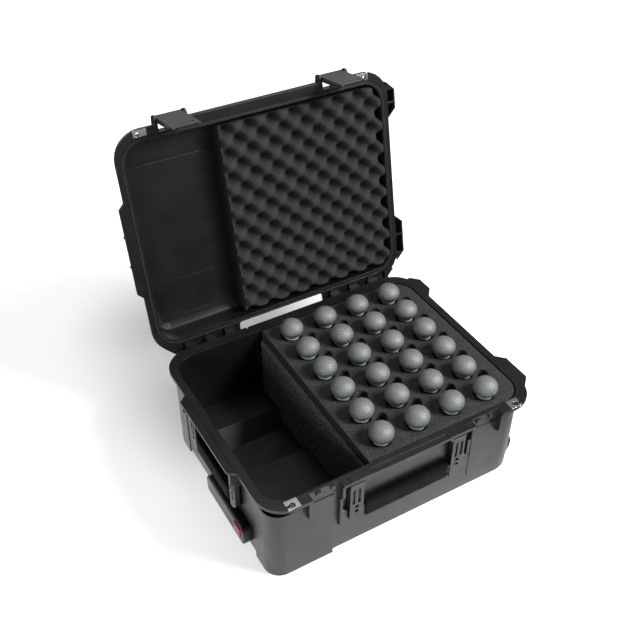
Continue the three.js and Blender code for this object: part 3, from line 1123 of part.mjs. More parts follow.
  const cavity = softBlock(LID_INNER_LENGTH, LID_INNER_DEPTH, LID_INNER_RADIUS, LID_INNER_EDGE,
    LID_Z - LID_INNER_EDGE * 3, PANEL_Z);
  const marks = [
    [GROOVE_LEFT_X, GROOVE_RIGHT_X, GROOVE_Y - GROOVE_WIDTH / 2, GROOVE_Y + GROOVE_WIDTH / 2],
    [RECESS_LEFT_X, RECESS_RIGHT_X, RECESS_FRONT_Y, RECESS_BACK_Y],
    [PLAQUE_LEFT_X, PLAQUE_RIGHT_X, PLAQUE_FRONT_Y, PLAQUE_BACK_Y],
    [NOTCH_LEFT_X, NOTCH_RIGHT_X, NOTCH_FRONT_Y, NOTCH_BACK_Y],
  ].map(([x0, x1, y0, y1]) => box(x0, x1, y0, y1, PANEL_Z - LID_INNER_EDGE, PANEL_Z + PANEL_CUT));
  const grooveOuter = upright(roundedRect(GASKET_LENGTH + GASKET_WIDTH + 2 * GAP,
    GASKET_DEPTH + GASKET_WIDTH + 2 * GAP, GASKET_RADIUS + GASKET_WIDTH / 2 + GAP),
  LID_Z - OVERRUN, LID_Z - SEAL_GAP + GASKET_HEIGHT + 2 * GAP);
  const grooveInner = upright(roundedRect(GASKET_LENGTH - GASKET_WIDTH - 2 * GAP,
    GASKET_DEPTH - GASKET_WIDTH - 2 * GAP, GASKET_RADIUS - GASKET_WIDTH / 2 - GAP),
  LID_Z - OVERRUN * 2, LID_Z + LID_EDGE);
  const holes = HINGE_GROUPS.map(hingeBore);
  for (const s of [-1, 1]) {
    const y0 = FLANGE_FRONT_Y + PLATE_FRONT_INSET;
    holes.push(box(s * (LID_PLATE_INNER_X - GAP), s * (LID_PLATE_INNER_X + LID_PLATE_LENGTH + GAP), y0 - GAP,
      y0 + LID_PLATE_DEPTH + GAP, LID_Z - OVERRUN, LID_Z + PLATE_THICKNESS + GAP));
    holes.push(upright(circle(PADLOCK_HOLE_RADIUS, s * PADLOCK_HOLE_X, padlockY()),
      LID_Z - OVERRUN, flangeTop + OVERRUN));
    const reach = LATCH_WIDTH / 2 + LATCH_LUG_GAP + LATCH_LUG_THICKNESS + OVERRUN;
    holes.push(alongX(circle(boreRadius(LATCH_PIN_RADIUS), LATCH_PIVOT_Y, RIM_Z + LATCH_PIVOT_RISE),
      s * LATCH_X - reach, s * LATCH_X + reach));
  }
  return cut(shell, cavity, ...marks, cut(grooveOuter, grooveInner), ...holes);
}

addMesh(lidFrame, 'lid_shell', buildLid(), shellPlastic);

{
  const z0 = RIM_Z + GAP;
  const outer = upright(roundedRect(GASKET_LENGTH + GASKET_WIDTH, GASKET_DEPTH + GASKET_WIDTH,
    GASKET_RADIUS + GASKET_WIDTH / 2), z0, z0 + GASKET_HEIGHT);
  const inner = upright(roundedRect(GASKET_LENGTH - GASKET_WIDTH, GASKET_DEPTH - GASKET_WIDTH,
    GASKET_RADIUS - GASKET_WIDTH / 2), z0 - OVERRUN, z0 + GASKET_HEIGHT + OVERRUN);
  addMesh(lidFrame, 'lid_gasket', cut(outer, inner), sealRubber);
}

for (const [name, s] of [['left', -1], ['right', 1]]) {
  const y0 = FLANGE_FRONT_Y + PLATE_FRONT_INSET;
  const plate = box(s * LID_PLATE_INNER_X, s * (LID_PLATE_INNER_X + LID_PLATE_LENGTH), y0,
    y0 + LID_PLATE_DEPTH, LID_Z, LID_Z + PLATE_THICKNESS);
  const hole = upright(circle(LID_HOLE_RADIUS, s * PADLOCK_HOLE_X, padlockY()),
    LID_Z - OVERRUN, LID_Z + PLATE_THICKNESS + OVERRUN);
  addMesh(lidFrame, `padlock_lid_${name}`, cut(plate, hole), steel);
}

// Egg-crate pad in the lid: peaks and hollows in turn, from a grid of heights
{
  const width = LID_FOAM_RIGHT_X - LID_FOAM_LEFT_X;
  const depth = 2 * LID_FOAM_HALF_DEPTH;
  const back = PANEL_Z + OVERRUN;
  const positions = [];
  const index = [];
  const nx = LID_FOAM_CELLS_X;
  const ny = LID_FOAM_CELLS_Y;
  const amplitude = (LID_FOAM_THICKNESS - LID_FOAM_VALLEY) / 2;
  const middle = LID_FOAM_VALLEY + amplitude;
  for (let j = 0; j <= ny; j += 1) {
    for (let i = 0; i <= nx; i += 1) {
      const x = LID_FOAM_LEFT_X + width * i / nx;
      const y = -LID_FOAM_HALF_DEPTH + depth * j / ny;
      const wave = Math.cos(2 * Math.PI * (x - LID_FOAM_RIGHT_X) / LID_FOAM_PITCH)
        * Math.cos(2 * Math.PI * (y - LID_FOAM_PEAK_Y) / LID_FOAM_PITCH);
      positions.push(x, y, PANEL_Z - GAP - middle - amplitude * wave);
    }
  }
  const id = (i, j) => j * (nx + 1) + i;
  for (let j = 0; j < ny; j += 1) {
    for (let i = 0; i < nx; i += 1) {
      index.push(id(i, j), id(i, j + 1), id(i + 1, j + 1), id(i, j), id(i + 1, j + 1), id(i + 1, j));
    }
  }
  const edge = [];
  for (let i = 0; i < nx; i += 1) edge.push(id(i, 0));
  for (let j = 0; j < ny; j += 1) edge.push(id(nx, j));
  for (let i = nx; i > 0; i -= 1) edge.push(id(i, ny));
  for (let j = ny; j > 0; j -= 1) edge.push(id(0, j));
  const first = positions.length / 3;
  for (const vertex of edge) positions.push(positions[vertex * 3], positions[vertex * 3 + 1], back);
  const centre = positions.length / 3;
  positions.push(LID_FOAM_LEFT_X + width / 2, 0, back);
  edge.forEach((vertex, k) => {
    const next = (k + 1) % edge.length;
    index.push(vertex, edge[next], first + next, vertex, first + next, first + k);
    index.push(first + k, first + next, centre);
  });
  const pad = new THREE.BufferGeometry();
  pad.setAttribute('position', new THREE.Float32BufferAttribute(positions, 3));
  pad.setIndex(index);
  pad.computeVertexNormals();
  const room = softBlock(LID_INNER_LENGTH - 2 * GAP, LID_INNER_DEPTH - 2 * GAP, LID_INNER_RADIUS - GAP,
    LID_INNER_EDGE, LID_Z - LID_INNER_EDGE * 3, PANEL_Z - GAP);
  addMesh(lidFrame, 'lid_foam', common(pad, room), foamBlack);
}

// Latches: a flanged plate on a pin, a hook on its inner side and a release bar at its tip
for (const [name, s] of [['left', -1], ['right', 1]]) {
  const latch = new THREE.Group();
  latch.position.set(s * LATCH_X, LATCH_PIVOT_Y, RIM_Z + LATCH_PIVOT_RISE);
  latch.rotation.x = LATCH_REST_TILT * DEGREE;
  lidFrame.add(latch);
  const half = LATCH_WIDTH / 2;
  const skin = box(-half, half, -LATCH_OUT, -LATCH_OUT + LATCH_SKIN, -LATCH_REACH, LATCH_TOP);
  const cheekProfile = [
    [-LATCH_OUT, -LATCH_REACH], [-LATCH_OUT + LATCH_SKIN, -LATCH_REACH],
    [LATCH_CHEEK_DEPTH, -LATCH_HOOK_DROP - LATCH_HOOK_HEIGHT], [LATCH_CHEEK_DEPTH, 0],
    [LATCH_CHEEK_DEPTH / 2, LATCH_TOP], [-LATCH_OUT, LATCH_TOP],
  ];
  const cheeks = [-1, 1].map((side) => alongX(polygon(cheekProfile),
    Math.min(side * half, side * (half - LATCH_CHEEK)), Math.max(side * half, side * (half - LATCH_CHEEK))));
  const hook = alongX(polygon([
    [-LATCH_OUT + LATCH_SKIN / 2, -LATCH_HOOK_DROP - LATCH_HOOK_HEIGHT * 2],
    [LATCH_HOOK_TIP - LATCH_HOOK_HEIGHT, -LATCH_HOOK_DROP - LATCH_HOOK_HEIGHT],
    [LATCH_HOOK_TIP, -LATCH_HOOK_DROP - LATCH_HOOK_HEIGHT / 2], [LATCH_HOOK_TIP, -LATCH_HOOK_DROP],
    [-LATCH_OUT + LATCH_SKIN / 2, -LATCH_HOOK_DROP],
  ]), -LATCH_HOOK_HALF, LATCH_HOOK_HALF);
  const collar = alongX(circle(LATCH_OUT), -half, half);
  const ears = [-1, 1].map((side) => box(side * half, side * (half - LATCH_EAR_WIDTH), -LATCH_OUT,
    -LATCH_OUT + LATCH_SKIN, -LATCH_REACH - LATCH_EAR_HEIGHT, -LATCH_REACH + OVERRUN));
  const slot = box(-LATCH_SLOT_HALF, LATCH_SLOT_HALF, -LATCH_OUT - OVERRUN, -LATCH_OUT + LATCH_SKIN + GAP,
    -LATCH_SLOT_DROP - LATCH_SLOT_HEIGHT, -LATCH_SLOT_DROP);
  const bore = alongX(circle(boreRadius(LATCH_PIN_RADIUS)), -half - OVERRUN, half + OVERRUN);
  const cheekGap = LATCH_LUG_GAP / 2;
  addMesh(latch, `latch_${name}`, cut(join(skin, ...cheeks, hook, collar, ...ears), slot, bore), latchPlastic);

  const pinHalf = half + cheekGap + LATCH_LUG_THICKNESS;
  addMesh(latch, `latch_pin_${name}`, alongX(circle(LATCH_PIN_RADIUS), -pinHalf, pinHalf), steel);

  const y0 = -LATCH_OUT + LATCH_SKIN + GAP;
  const width = TRIGGER_HALF - TRIGGER_SIDE_GAP;
  const plate = box(-width, width, y0, y0 + TRIGGER_THICKNESS,
    -LATCH_SLOT_DROP - LATCH_SLOT_HEIGHT + GAP + TRIGGER_BAR, -TRIGGER_TOP_DROP);
  const bar = box(-width, width, -LATCH_OUT + GAP, y0 + TRIGGER_THICKNESS,
    -LATCH_SLOT_DROP - LATCH_SLOT_HEIGHT + GAP, -LATCH_SLOT_DROP - LATCH_SLOT_HEIGHT + GAP + TRIGGER_BAR);
  addMesh(latch, `latch_trigger_${name}`, join(plate, bar), latchPlastic);
}

export default part;
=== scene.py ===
import math

import bmesh
import bpy
import numpy as np
from mathutils import Matrix, Vector, geometry


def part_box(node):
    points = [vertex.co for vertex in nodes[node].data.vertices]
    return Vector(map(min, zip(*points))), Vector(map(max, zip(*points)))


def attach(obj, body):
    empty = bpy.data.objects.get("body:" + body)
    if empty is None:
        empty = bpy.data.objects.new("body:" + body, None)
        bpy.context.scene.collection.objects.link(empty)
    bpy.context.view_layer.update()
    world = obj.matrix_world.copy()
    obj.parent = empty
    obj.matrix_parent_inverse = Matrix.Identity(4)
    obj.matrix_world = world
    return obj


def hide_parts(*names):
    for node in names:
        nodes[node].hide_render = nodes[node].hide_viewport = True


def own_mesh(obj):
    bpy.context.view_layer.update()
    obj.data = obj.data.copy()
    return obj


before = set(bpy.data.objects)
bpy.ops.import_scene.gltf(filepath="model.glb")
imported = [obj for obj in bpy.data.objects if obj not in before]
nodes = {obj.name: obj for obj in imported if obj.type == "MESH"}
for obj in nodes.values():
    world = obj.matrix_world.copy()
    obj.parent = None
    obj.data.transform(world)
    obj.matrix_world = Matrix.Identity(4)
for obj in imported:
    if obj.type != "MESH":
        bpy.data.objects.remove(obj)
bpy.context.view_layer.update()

# ---------------------------------------------------------------------------
# Camera and studio.
# The case stands on a pale floor in a plain studio, seen from above its front
# left corner. A broad soft lamp stands to the right, and weaker ones fill in.
# ---------------------------------------------------------------------------
right_of_view = Vector((0.86434, -0.50287, 0.00506))
up_of_view = Vector((0.31817, 0.55462, 0.76887))
camera_data = bpy.data.cameras.new("camera")
camera_data.lens = 50.884
camera_data.sensor_width = 36.0
camera_data.shift_x = 0.0027
camera_data.shift_y = -0.0022
camera_data.clip_end = 60.0
camera = bpy.data.objects.new("camera", camera_data)
back_of_view = right_of_view.cross(up_of_view)
camera.matrix_world = Matrix.Translation((-0.72358, -1.12127, 1.47314)) @ Matrix(
    (right_of_view, up_of_view, back_of_view)).transposed().to_4x4()
bpy.context.scene.collection.objects.link(camera)
bpy.context.scene.camera = camera
bpy.context.scene.view_settings.view_transform = "Standard"


def grid_faces(rows, columns, wrap_rows=False, wrap_columns=False):
    """Faces over a grid of points that is stored row by row: point (i, j), its neighbour in the
    next column, the one diagonal to it and the one in the next row. A wrapped grid's last row or
    column meets its first."""
    i = np.arange(rows if wrap_rows else rows - 1)[:, None]
    j = np.arange(columns if wrap_columns else columns - 1)[None, :]
    below, beside = (i + 1) % rows, (j + 1) % columns
    corners = (i * columns + j, i * columns + beside, below * columns + beside, below * columns + j)
    return np.stack(np.broadcast_arrays(*corners), -1).reshape(-1, 4)


def new_piece(name, points, faces):
    """A smooth object of that name at the origin, with these points and faces. Points that coincide
    become one, and the faces are turned outwards."""
    mesh = bpy.data.meshes.new(name)
    mesh.from_pydata(np.asarray(points, float).reshape(-1, 3).tolist(), [],
                     [list(map(int, f)) for f in faces])
    form = bmesh.new()
    form.from_mesh(mesh)
    bmesh.ops.remove_doubles(form, verts=form.verts, dist=1e-6)
    bmesh.ops.recalc_face_normals(form, faces=form.faces)
    form.to_mesh(mesh)
    form.free()
    mesh.polygons.foreach_set("use_smooth", [True] * len(mesh.polygons))
    piece = bpy.data.objects.new(name, mesh)
    bpy.context.scene.collection.objects.link(piece)
    return piece


def plain_finish(name, colour, roughness, metallic=0.0):
    """A material whose steady colour, roughness and metallic share are set on the shader's own
    sockets."""
    finish = bpy.data.materials.new(name)
    finish.use_nodes = True
    shader = finish.node_tree.nodes["Principled BSDF"]
    shader.inputs["Base Color"].default_value = (*colour, 1.0)
    shader.inputs["Roughness"].default_value = roughness
    shader.inputs["Metallic"].default_value = metallic
    return finish, shader


def feed(tree, socket, value):
    """Gives a socket its value: another node's output is linked to it, and a number or colour is
    set on it."""
    if isinstance(value, bpy.types.NodeSocket):
        tree.links.new(value, socket)
    else:
        socket.default_value = value


def maths(tree, operation, *values):
    """What a math node makes of these values, each a number or another node's output."""
    node = tree.nodes.new("ShaderNodeMath")
    node.operation = operation
    for socket, value in zip(node.inputs, values):
        feed(tree, socket, value)
    return node.outputs[0]


def mapped(tree, value, source, target, kind="LINEAR"):
    """The value carried from the range source to the range target, each (low, high), and held at
    both ends."""
    node = tree.nodes.new("ShaderNodeMapRange")
    node.interpolation_type = kind
    feed(tree, node.inputs["Value"], value)
    for name, number in zip(("From Min", "From Max", "To Min", "To Max"), (*source, *target)):
        node.inputs[name].default_value = number
    return node.outputs["Result"]


def blended(tree, kind, factor, first, second):
    """Two colours in one: the first where factor is 0, their blend of that kind where it is 1."""
    node = tree.nodes.new("ShaderNodeMix")
    node.data_type = "RGBA"
    node.blend_type = kind
    for name, value in (("Factor", factor), ("A", first), ("B", second)):
        feed(tree, node.inputs[name], value)
    return node.outputs["Result"]


def ramped(tree, value, low, dark, high, light):
    """A colour that runs from dark, where value is low or less, to light, where it is high or
    more."""
    node = tree.nodes.new("ShaderNodeValToRGB")
    for stop, place, colour in zip(node.color_ramp.elements, (low, high), (dark, light)):
        stop.position = place
        stop.color = (*colour, 1.0)
    feed(tree, node.inputs["Fac"], value)
    return node.outputs["Color"]


floor_half, floor_lines = 9.0, 41
floor_marks = np.linspace(-floor_half, floor_half, floor_lines)
floor_u, floor_v = np.meshgrid(floor_marks, floor_marks, indexing="ij")
floor = new_piece("floor", np.stack([floor_u, floor_v, np.zeros_like(floor_u)], -1),
                  grid_faces(floor_lines, floor_lines))
floor_finish, floor_shader = plain_finish("pale_floor", (0.80, 0.80, 0.80), 0.9)
floor_shader.inputs["Specular IOR Level"].default_value = 0.0
floor_shader.inputs["Emission Color"].default_value = (1.0, 1.0, 1.0, 1.0)
floor_tree = floor_finish.node_tree
floor_way = floor_tree.nodes.new("ShaderNodeTexCoord").outputs["Object"]
floor_path = floor_tree.nodes.new("ShaderNodeLightPath").outputs
floor_reach = floor_tree.nodes.new("ShaderNodeVectorMath")
floor_reach.operation = "DISTANCE"
floor_reach.inputs[1].default_value = (-0.16, -0.06, 0.0)
floor_tree.links.new(floor_way, floor_reach.inputs[0])

# Near the case the floor is bright to it, as in a studio. Further out it is nearly black to the
# case, so that the shell stays as dark as the real one. The camera sees one pale tone. Glossy rays
# also see the floor glow, fading in the same way: a painted reflection of a lit floor in the shell.
floor_fade = mapped(floor_tree, floor_reach.outputs["Value"], (0.40, 0.80), (0.85, 0.05),
                    "SMOOTHSTEP")
floor_tone = blended(floor_tree, "MIX", floor_path["Is Camera Ray"], floor_fade,
                     (0.90, 0.90, 0.90, 1.0))
floor_tree.links.new(floor_tone, floor_shader.inputs["Base Color"])
floor_painted_reflection = maths(floor_tree, "MULTIPLY", floor_fade, floor_path["Is Glossy Ray"])

# To the camera alone the floor also glows: little in the lee of the lid, where the lower glow is a
# painted shadow of the case, more with the distance from the box that the lee fills, and more again
# far out. floor_past is that distance, the length of max(0, |place - middle| - half).
floor_past = floor_way
for floor_step, floor_value in (("SUBTRACT", (0.0, 0.42, 0.0)), ("ABSOLUTE", None),
                                ("SUBTRACT", (0.16, 0.14, 0.0)), ("MAXIMUM", (0.0, 0.0, 0.0)),
                                ("LENGTH", None)):
    floor_node = floor_tree.nodes.new("ShaderNodeVectorMath")
    floor_node.operation = floor_step
    floor_tree.links.new(floor_past, floor_node.inputs[0])
    if floor_value:
        floor_node.inputs[1].default_value = floor_value
    floor_past = floor_node.outputs["Value" if floor_step == "LENGTH" else "Vector"]
# Painted shadow: the camera's floor glow drops to 0.20 near the lid and rises to 0.66 away from it.
floor_glow_with_painted_shadow = mapped(floor_tree, floor_past, (0.0, 0.32), (0.20, 0.66), "SMOOTHSTEP")
floor_far = mapped(floor_tree, floor_reach.outputs["Value"], (0.9, 2.6), (0.0, 0.30))
floor_glow = maths(floor_tree, "MULTIPLY_ADD", floor_path["Is Camera Ray"],
                   maths(floor_tree, "ADD", floor_far, floor_glow_with_painted_shadow), floor_painted_reflection)
floor_tree.links.new(floor_glow, floor_shader.inputs["Emission Strength"])
floor.data.materials.append(floor_finish)

# The room is white to the camera. Reflections see it darken from the horizon upwards, and only a
# share of that falls on the object as light.
studio = bpy.data.worlds.new("studio")
studio.use_nodes = True
studio_tree = studio.node_tree
studio_light = studio_tree.nodes["Background"]
studio_light.inputs["Strength"].default_value = 1.0
sky_way = studio_tree.nodes.new("ShaderNodeTexCoord")
sky_split = studio_tree.nodes.new("ShaderNodeSeparateXYZ")
studio_tree.links.new(sky_way.outputs["Generated"], sky_split.inputs["Vector"])
sky_tone = ramped(studio_tree, sky_split.outputs["Z"], 0.12, (0.45, 0.45, 0.45),
                  0.70, (0.10, 0.10, 0.10))
sky_path = studio_tree.nodes.new("ShaderNodeLightPath").outputs
sky_shown = blended(studio_tree, "MIX", sky_path["Is Camera Ray"], sky_tone, (1.0, 1.0, 1.0, 1.0))
sky_seen = maths(studio_tree, "MAXIMUM", sky_path["Is Camera Ray"], sky_path["Is Glossy Ray"])
sky_seen = maths(studio_tree, "MAXIMUM", sky_seen, sky_path["Is Transmission Ray"])
sky_share = 0.38
sky_strength = maths(studio_tree, "MULTIPLY_ADD", sky_seen, 1.0 - sky_share, sky_share)
studio_tree.links.new(blended(studio_tree, "MULTIPLY", 1.0, sky_shown, sky_strength),
                      studio_light.inputs["Color"])
bpy.context.scene.world = studio

lamps_aim = Vector((0.0, 0.0, 0.2))
for lamp_name, lamp_place, lamp_size, lamp_power in (
        ("key_lamp", (2.0, -1.9, 2.7), 1.4, 140.0),
        ("fill_lamp", (-2.4, -2.2, 0.6), 1.4, 26.0),
        ("top_lamp", (0.4, 0.6, 3.4), 1.8, 20.0),
        ("back_lamp", (-0.7, 2.8, 1.5), 1.6, 10.0)):
    lamp_data = bpy.data.lights.new(lamp_name, "AREA")
    lamp_data.shape = "DISK"
    lamp_data.size = lamp_size
    lamp_data.energy = lamp_power
    lamp = bpy.data.objects.new(lamp_name, lamp_data)
    lamp.location = lamp_place
    lamp.rotation_euler = (lamps_aim - Vector(lamp_place)).to_track_quat("-Z", "Y").to_euler()
    bpy.context.scene.collection.objects.link(lamp)

# ---------------------------------------------------------------------------
# Container and lid.
# Both halves are moulded in one piece each of dark polypropylene, with a fine
# leather grain outside and every edge rounded by the mould.
# ---------------------------------------------------------------------------


def noise(tree, place, width, detail):
    """Noise from 0 to 1 with lumps about width metres wide, and that many levels of finer ones in
    them."""
    node = tree.nodes.new("ShaderNodeTexNoise")
    node.inputs["Scale"].default_value = 1.0 / width
    node.inputs["Detail"].default_value = detail
    tree.links.new(place, node.inputs["Vector"])
    return node.outputs["Fac"]


def drifting_tones(finish, shader, dark, light, width, detail=4.0):
    """Two close tones that drift over the piece: noise with lumps about width metres wide goes from
    dark to light."""
    tree = finish.node_tree
    place = tree.nodes.new("ShaderNodeTexCoord").outputs["Object"]
    tone = ramped(tree, noise(tree, place, width, detail), 0.32, dark, 0.68, light)
    tree.links.new(tone, shader.inputs["Base Color"])
    return place, tone


def drifting_shine(finish, shader, place, low, high, width):
    """Roughness that rises and falls between low and high, in patches about width metres wide."""
    tree = finish.node_tree
    patches = noise(tree, place, width, 6.0)
    tree.links.new(mapped(tree, patches, (0.3, 0.7), (low, high)), shader.inputs["Roughness"])


def pressed(tree, shader, height, depth, strength):
    """Bends the shading as if the surface rose and fell with height, from 0 to 1, over depth
    metres."""
    press = tree.nodes.new("ShaderNodeBump")
    press.inputs["Strength"].default_value = strength
    press.inputs["Distance"].default_value = depth
    tree.links.new(height, press.inputs["Height"])
    tree.links.new(press.outputs["Normal"], shader.inputs["Normal"])


def fine_grain(finish, shader, place, width, depth, strength=0.5):
    """A grain pressed into the surface: cells about width metres wide and depth metres deep."""
    tree = finish.node_tree
    pressed(tree, shader, noise(tree, place, width, 3.0), depth, strength)


def moulded_plastic(name, dark, light, low, high):
    """Moulded plastic: two close tones, a slightly uneven shine and a fine pressed grain."""
    finish, shader = plain_finish(name, light, high)
    shader.inputs["Specular IOR Level"].default_value = 0.55
    place, _ = drifting_tones(finish, shader, dark, light, 0.11)
    drifting_shine(finish, shader, place, low, high, 0.05)
    fine_grain(finish, shader, place, 0.0011, 0.00035)
    return finish


def rounded_from(node, name, finish, edge, body, crease=32.0, steps=2):
    """The node's own surface in a new piece: corners that meet become one, and every edge sharper
    than crease degrees is turned to a round of radius edge, in that many steps. Broad faces keep
    their own direction in the shading."""
    mesh = nodes[node].data.copy()
    mesh.name = name
    mesh.materials.clear()
    form = bmesh.new()
    form.from_mesh(mesh)
    bmesh.ops.remove_doubles(form, verts=form.verts, dist=2e-6)
    for face in form.faces:
        face.smooth = True
        face.material_index = 0
    form.to_mesh(mesh)
    form.free()
    mesh.materials.append(finish)
    piece = bpy.data.objects.new(name, mesh)
    bpy.context.scene.collection.objects.link(piece)
    soften = piece.modifiers.new("moulded_edges", "BEVEL")
    soften.width = edge
    soften.segments = steps
    soften.limit_method = "ANGLE"
    soften.angle_limit = math.radians(crease)
    soften.use_clamp_overlap = False
    weigh = piece.modifiers.new("flat_faces", "WEIGHTED_NORMAL")
    weigh.mode = "FACE_AREA"
    weigh.weight = 100
    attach(piece, body)
    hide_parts(node)
    return piece


shell_plastic = moulded_plastic("shell_plastic", (0.0070, 0.0072, 0.0067), (0.0104, 0.0107, 0.0099),
                                0.30, 0.42)
shell_edge = 0.0005
rounded_from("base_shell", "container_shell", shell_plastic, shell_edge,
             "container")
rounded_from("lid_shell", "lid_cover", shell_plastic, shell_edge, "lid")

# ---------------------------------------------------------------------------
# Seal, hinge pins and axles.
# A soft rubber cord lies in the lid's groove. Plain bright steel pins hold the
# hinge, the handles and the latches, and carry the wheels.
# ---------------------------------------------------------------------------
seal_rubber, seal_shader = plain_finish("seal_rubber", (0.012, 0.012, 0.012), 0.7)
seal_place, _ = drifting_tones(seal_rubber, seal_shader, (0.009, 0.009, 0.009),
                               (0.016, 0.016, 0.016), 0.03)
fine_grain(seal_rubber, seal_shader, seal_place, 0.0009, 0.0002)


def give_finish(node, finish):
    """Gives that finish to a node whose own surface is shown."""
    nodes[node].data.materials.clear()
    nodes[node].data.materials.append(finish)


give_finish("lid_gasket", seal_rubber)


def drawn_metal(name, dark, light, low, high, width):
    """Drawn or rolled metal: two close tones and a shine broken by fine scratches about width
    metres wide."""
    finish, shader = plain_finish(name, light, high, 1.0)
    place, _ = drifting_tones(finish, shader, dark, light, 0.02)
    drifting_shine(finish, shader, place, low, high, width)
    fine_grain(finish, shader, place, width, 0.0001, 0.25)
    return finish


pin_steel = drawn_metal("pin_steel", (0.46, 0.46, 0.47), (0.62, 0.62, 0.63), 0.28, 0.42, 0.0015)
for pin_node in ("hinge_pin_left", "hinge_pin_right", "front_handle_pin_left",
                 "front_handle_pin_right", "side_handle_pin_front", "side_handle_pin_back",
                 "latch_pin_left", "latch_pin_right", "wheel_axle_front", "wheel_axle_back"):
    give_finish(pin_node, pin_steel)

# ---------------------------------------------------------------------------
# Padlock plates.
# Four stamped stainless plates, pressed into the rims of both halves near the
# front corners, with a round hole or notch for the shackle.
# ---------------------------------------------------------------------------
plate_steel = drawn_metal("plate_steel", (0.70, 0.70, 0.71), (0.86, 0.86, 0.87), 0.22, 0.34, 0.0012)
plate_edge = 0.0003
for plate_side in ("left", "right"):
    rounded_from(f"padlock_base_{plate_side}", f"lower_plate_{plate_side}", plate_steel, plate_edge,
                 "container")
    rounded_from(f"padlock_lid_{plate_side}", f"upper_plate_{plate_side}", plate_steel, plate_edge,
                 "lid")

# ---------------------------------------------------------------------------
# Latches.
# Two wide moulded latches hang on pins in the lid's lugs. Each carries a small
# sprung release bar in its slot; the plastic is lighter than the shell's.
# ---------------------------------------------------------------------------
latch_plastic = moulded_plastic("latch_plastic", (0.058, 0.0583, 0.059), (0.072, 0.0723, 0.073),
                                0.36, 0.48)
latch_edge, release_edge = 0.0007, 0.0005
for latch_side in ("left", "right"):
    rounded_from(f"latch_{latch_side}", f"draw_latch_{latch_side}", latch_plastic, latch_edge,
                 f"{latch_side}_latch")
    rounded_from(f"latch_trigger_{latch_side}", f"release_bar_{latch_side}", latch_plastic,
                 release_edge, f"{latch_side}_release")

# ---------------------------------------------------------------------------
# Carrying handles.
# Each is a moulded frame of the shell's plastic that swings on two pins, with a
# thicker rubber grip moulded round its bar.
# ---------------------------------------------------------------------------
handle_edge = 0.0008
for handle_name in ("front", "side"):
    rounded_from(f"{handle_name}_handle_frame", f"{handle_name}_carry_frame", shell_plastic,
                 handle_edge, f"{handle_name}_handle")

grip_rubber, grip_shader = plain_finish("grip_rubber", (0.02, 0.02, 0.02), 0.6)
grip_place, _ = drifting_tones(grip_rubber, grip_shader, (0.0045, 0.0045, 0.0047),
                               (0.0075, 0.0075, 0.0078), 0.05)
drifting_shine(grip_rubber, grip_shader, grip_place, 0.66, 0.80, 0.03)
grip_shader.inputs["Specular IOR Level"].default_value = 0.1
fine_grain(grip_rubber, grip_shader, grip_place, 0.0008, 0.0003)


def grip_sleeve(name, node, along, ribs):
    """A rubber sleeve along X or Y (along is 0 or 1) in the node's box. Its section is a
    superellipse, |a|^n + |b|^n = 1 with n = squareness. Its size along the bar is full but for
    rounded ends, and dips by groove_depth in each of the ribs' grooves."""
    squareness = 4.2
    end = 0.006
    groove_depth, groove_sharpness = 0.0005, 40
    low, high = (np.array(corner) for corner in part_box(node))
    centre, half = (low + high) / 2, (high - low) / 2
    length = 2 * half[along]
    turn = np.linspace(0, 2 * np.pi, 72, endpoint=False)
    across = np.sign(np.cos(turn)) * np.abs(np.cos(turn)) ** (2 / squareness)
    upward = np.sign(np.sin(turn)) * np.abs(np.sin(turn)) ** (2 / squareness)
    lead = end * (1 - np.cos(np.linspace(0, np.pi / 2, 9)))
    body = np.linspace(end, length - end, 40 * ribs + 2)[1:-1]
    run = np.concatenate([lead, body, length - lead[::-1]])
    inset = np.zeros_like(run)
    near = np.minimum(run, length - run)
    ends = near < end
    inset[ends] = end * (1 - np.sqrt(np.clip(1 - ((end - near[ends]) / end) ** 2, 0, 1)))
    grooves = np.cos(np.pi * ribs * run / length) ** groove_sharpness
    inset = inset + groove_depth * grooves * (near > 2 * end)
    thick_axis = 1 - along
    points = np.zeros((len(run), len(turn), 3))
    points[..., along] = (low[along] + run)[:, None]
    points[..., thick_axis] = centre[thick_axis] + (half[thick_axis] - inset)[:, None] * across
    points[..., 2] = centre[2] + (half[2] - inset)[:, None] * upward
    faces = grid_faces(len(run), len(turn), wrap_columns=True).tolist()
    faces += [list(range(len(turn))), list(range((len(run) - 1) * len(turn), len(run) * len(turn)))]
    return new_piece(name, points, faces)


for handle_name, handle_along, handle_ribs in (("front", 0, 8), ("side", 1, 6)):
    sleeve = grip_sleeve(f"{handle_name}_rubber_grip", f"{handle_name}_handle_grip", handle_along,
                         handle_ribs)
    sleeve.data.materials.append(grip_rubber)
    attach(sleeve, f"{handle_name}_handle")
    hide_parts(f"{handle_name}_handle_grip")

# ---------------------------------------------------------------------------
# Pull handle.
# A moulded grip with a red release button slides out of the left end on two
# drawn aluminium tubes, which run in sleeves under the compartment floor.
# ---------------------------------------------------------------------------
pull_edge, button_edge = 0.0016, 0.0012
rounded_from("pull_handle_grip", "pull_grip", shell_plastic, pull_edge,
             "pull_handle", steps=3)

red_plastic, red_shader = plain_finish("red_plastic", (0.55, 0.02, 0.03), 0.4)
red_place, _ = drifting_tones(red_plastic, red_shader, (0.47, 0.014, 0.022),
                              (0.60, 0.028, 0.036), 0.02)
drifting_shine(red_plastic, red_shader, red_place, 0.32, 0.44, 0.01)
fine_grain(red_plastic, red_shader, red_place, 0.0009, 0.0002)
rounded_from("pull_handle_button", "red_release_button", red_plastic, button_edge,
             "release_button", steps=3)

tube_aluminium = drawn_metal("tube_aluminium", (0.55, 0.555, 0.56), (0.68, 0.685, 0.69),
                             0.26, 0.38, 0.002)


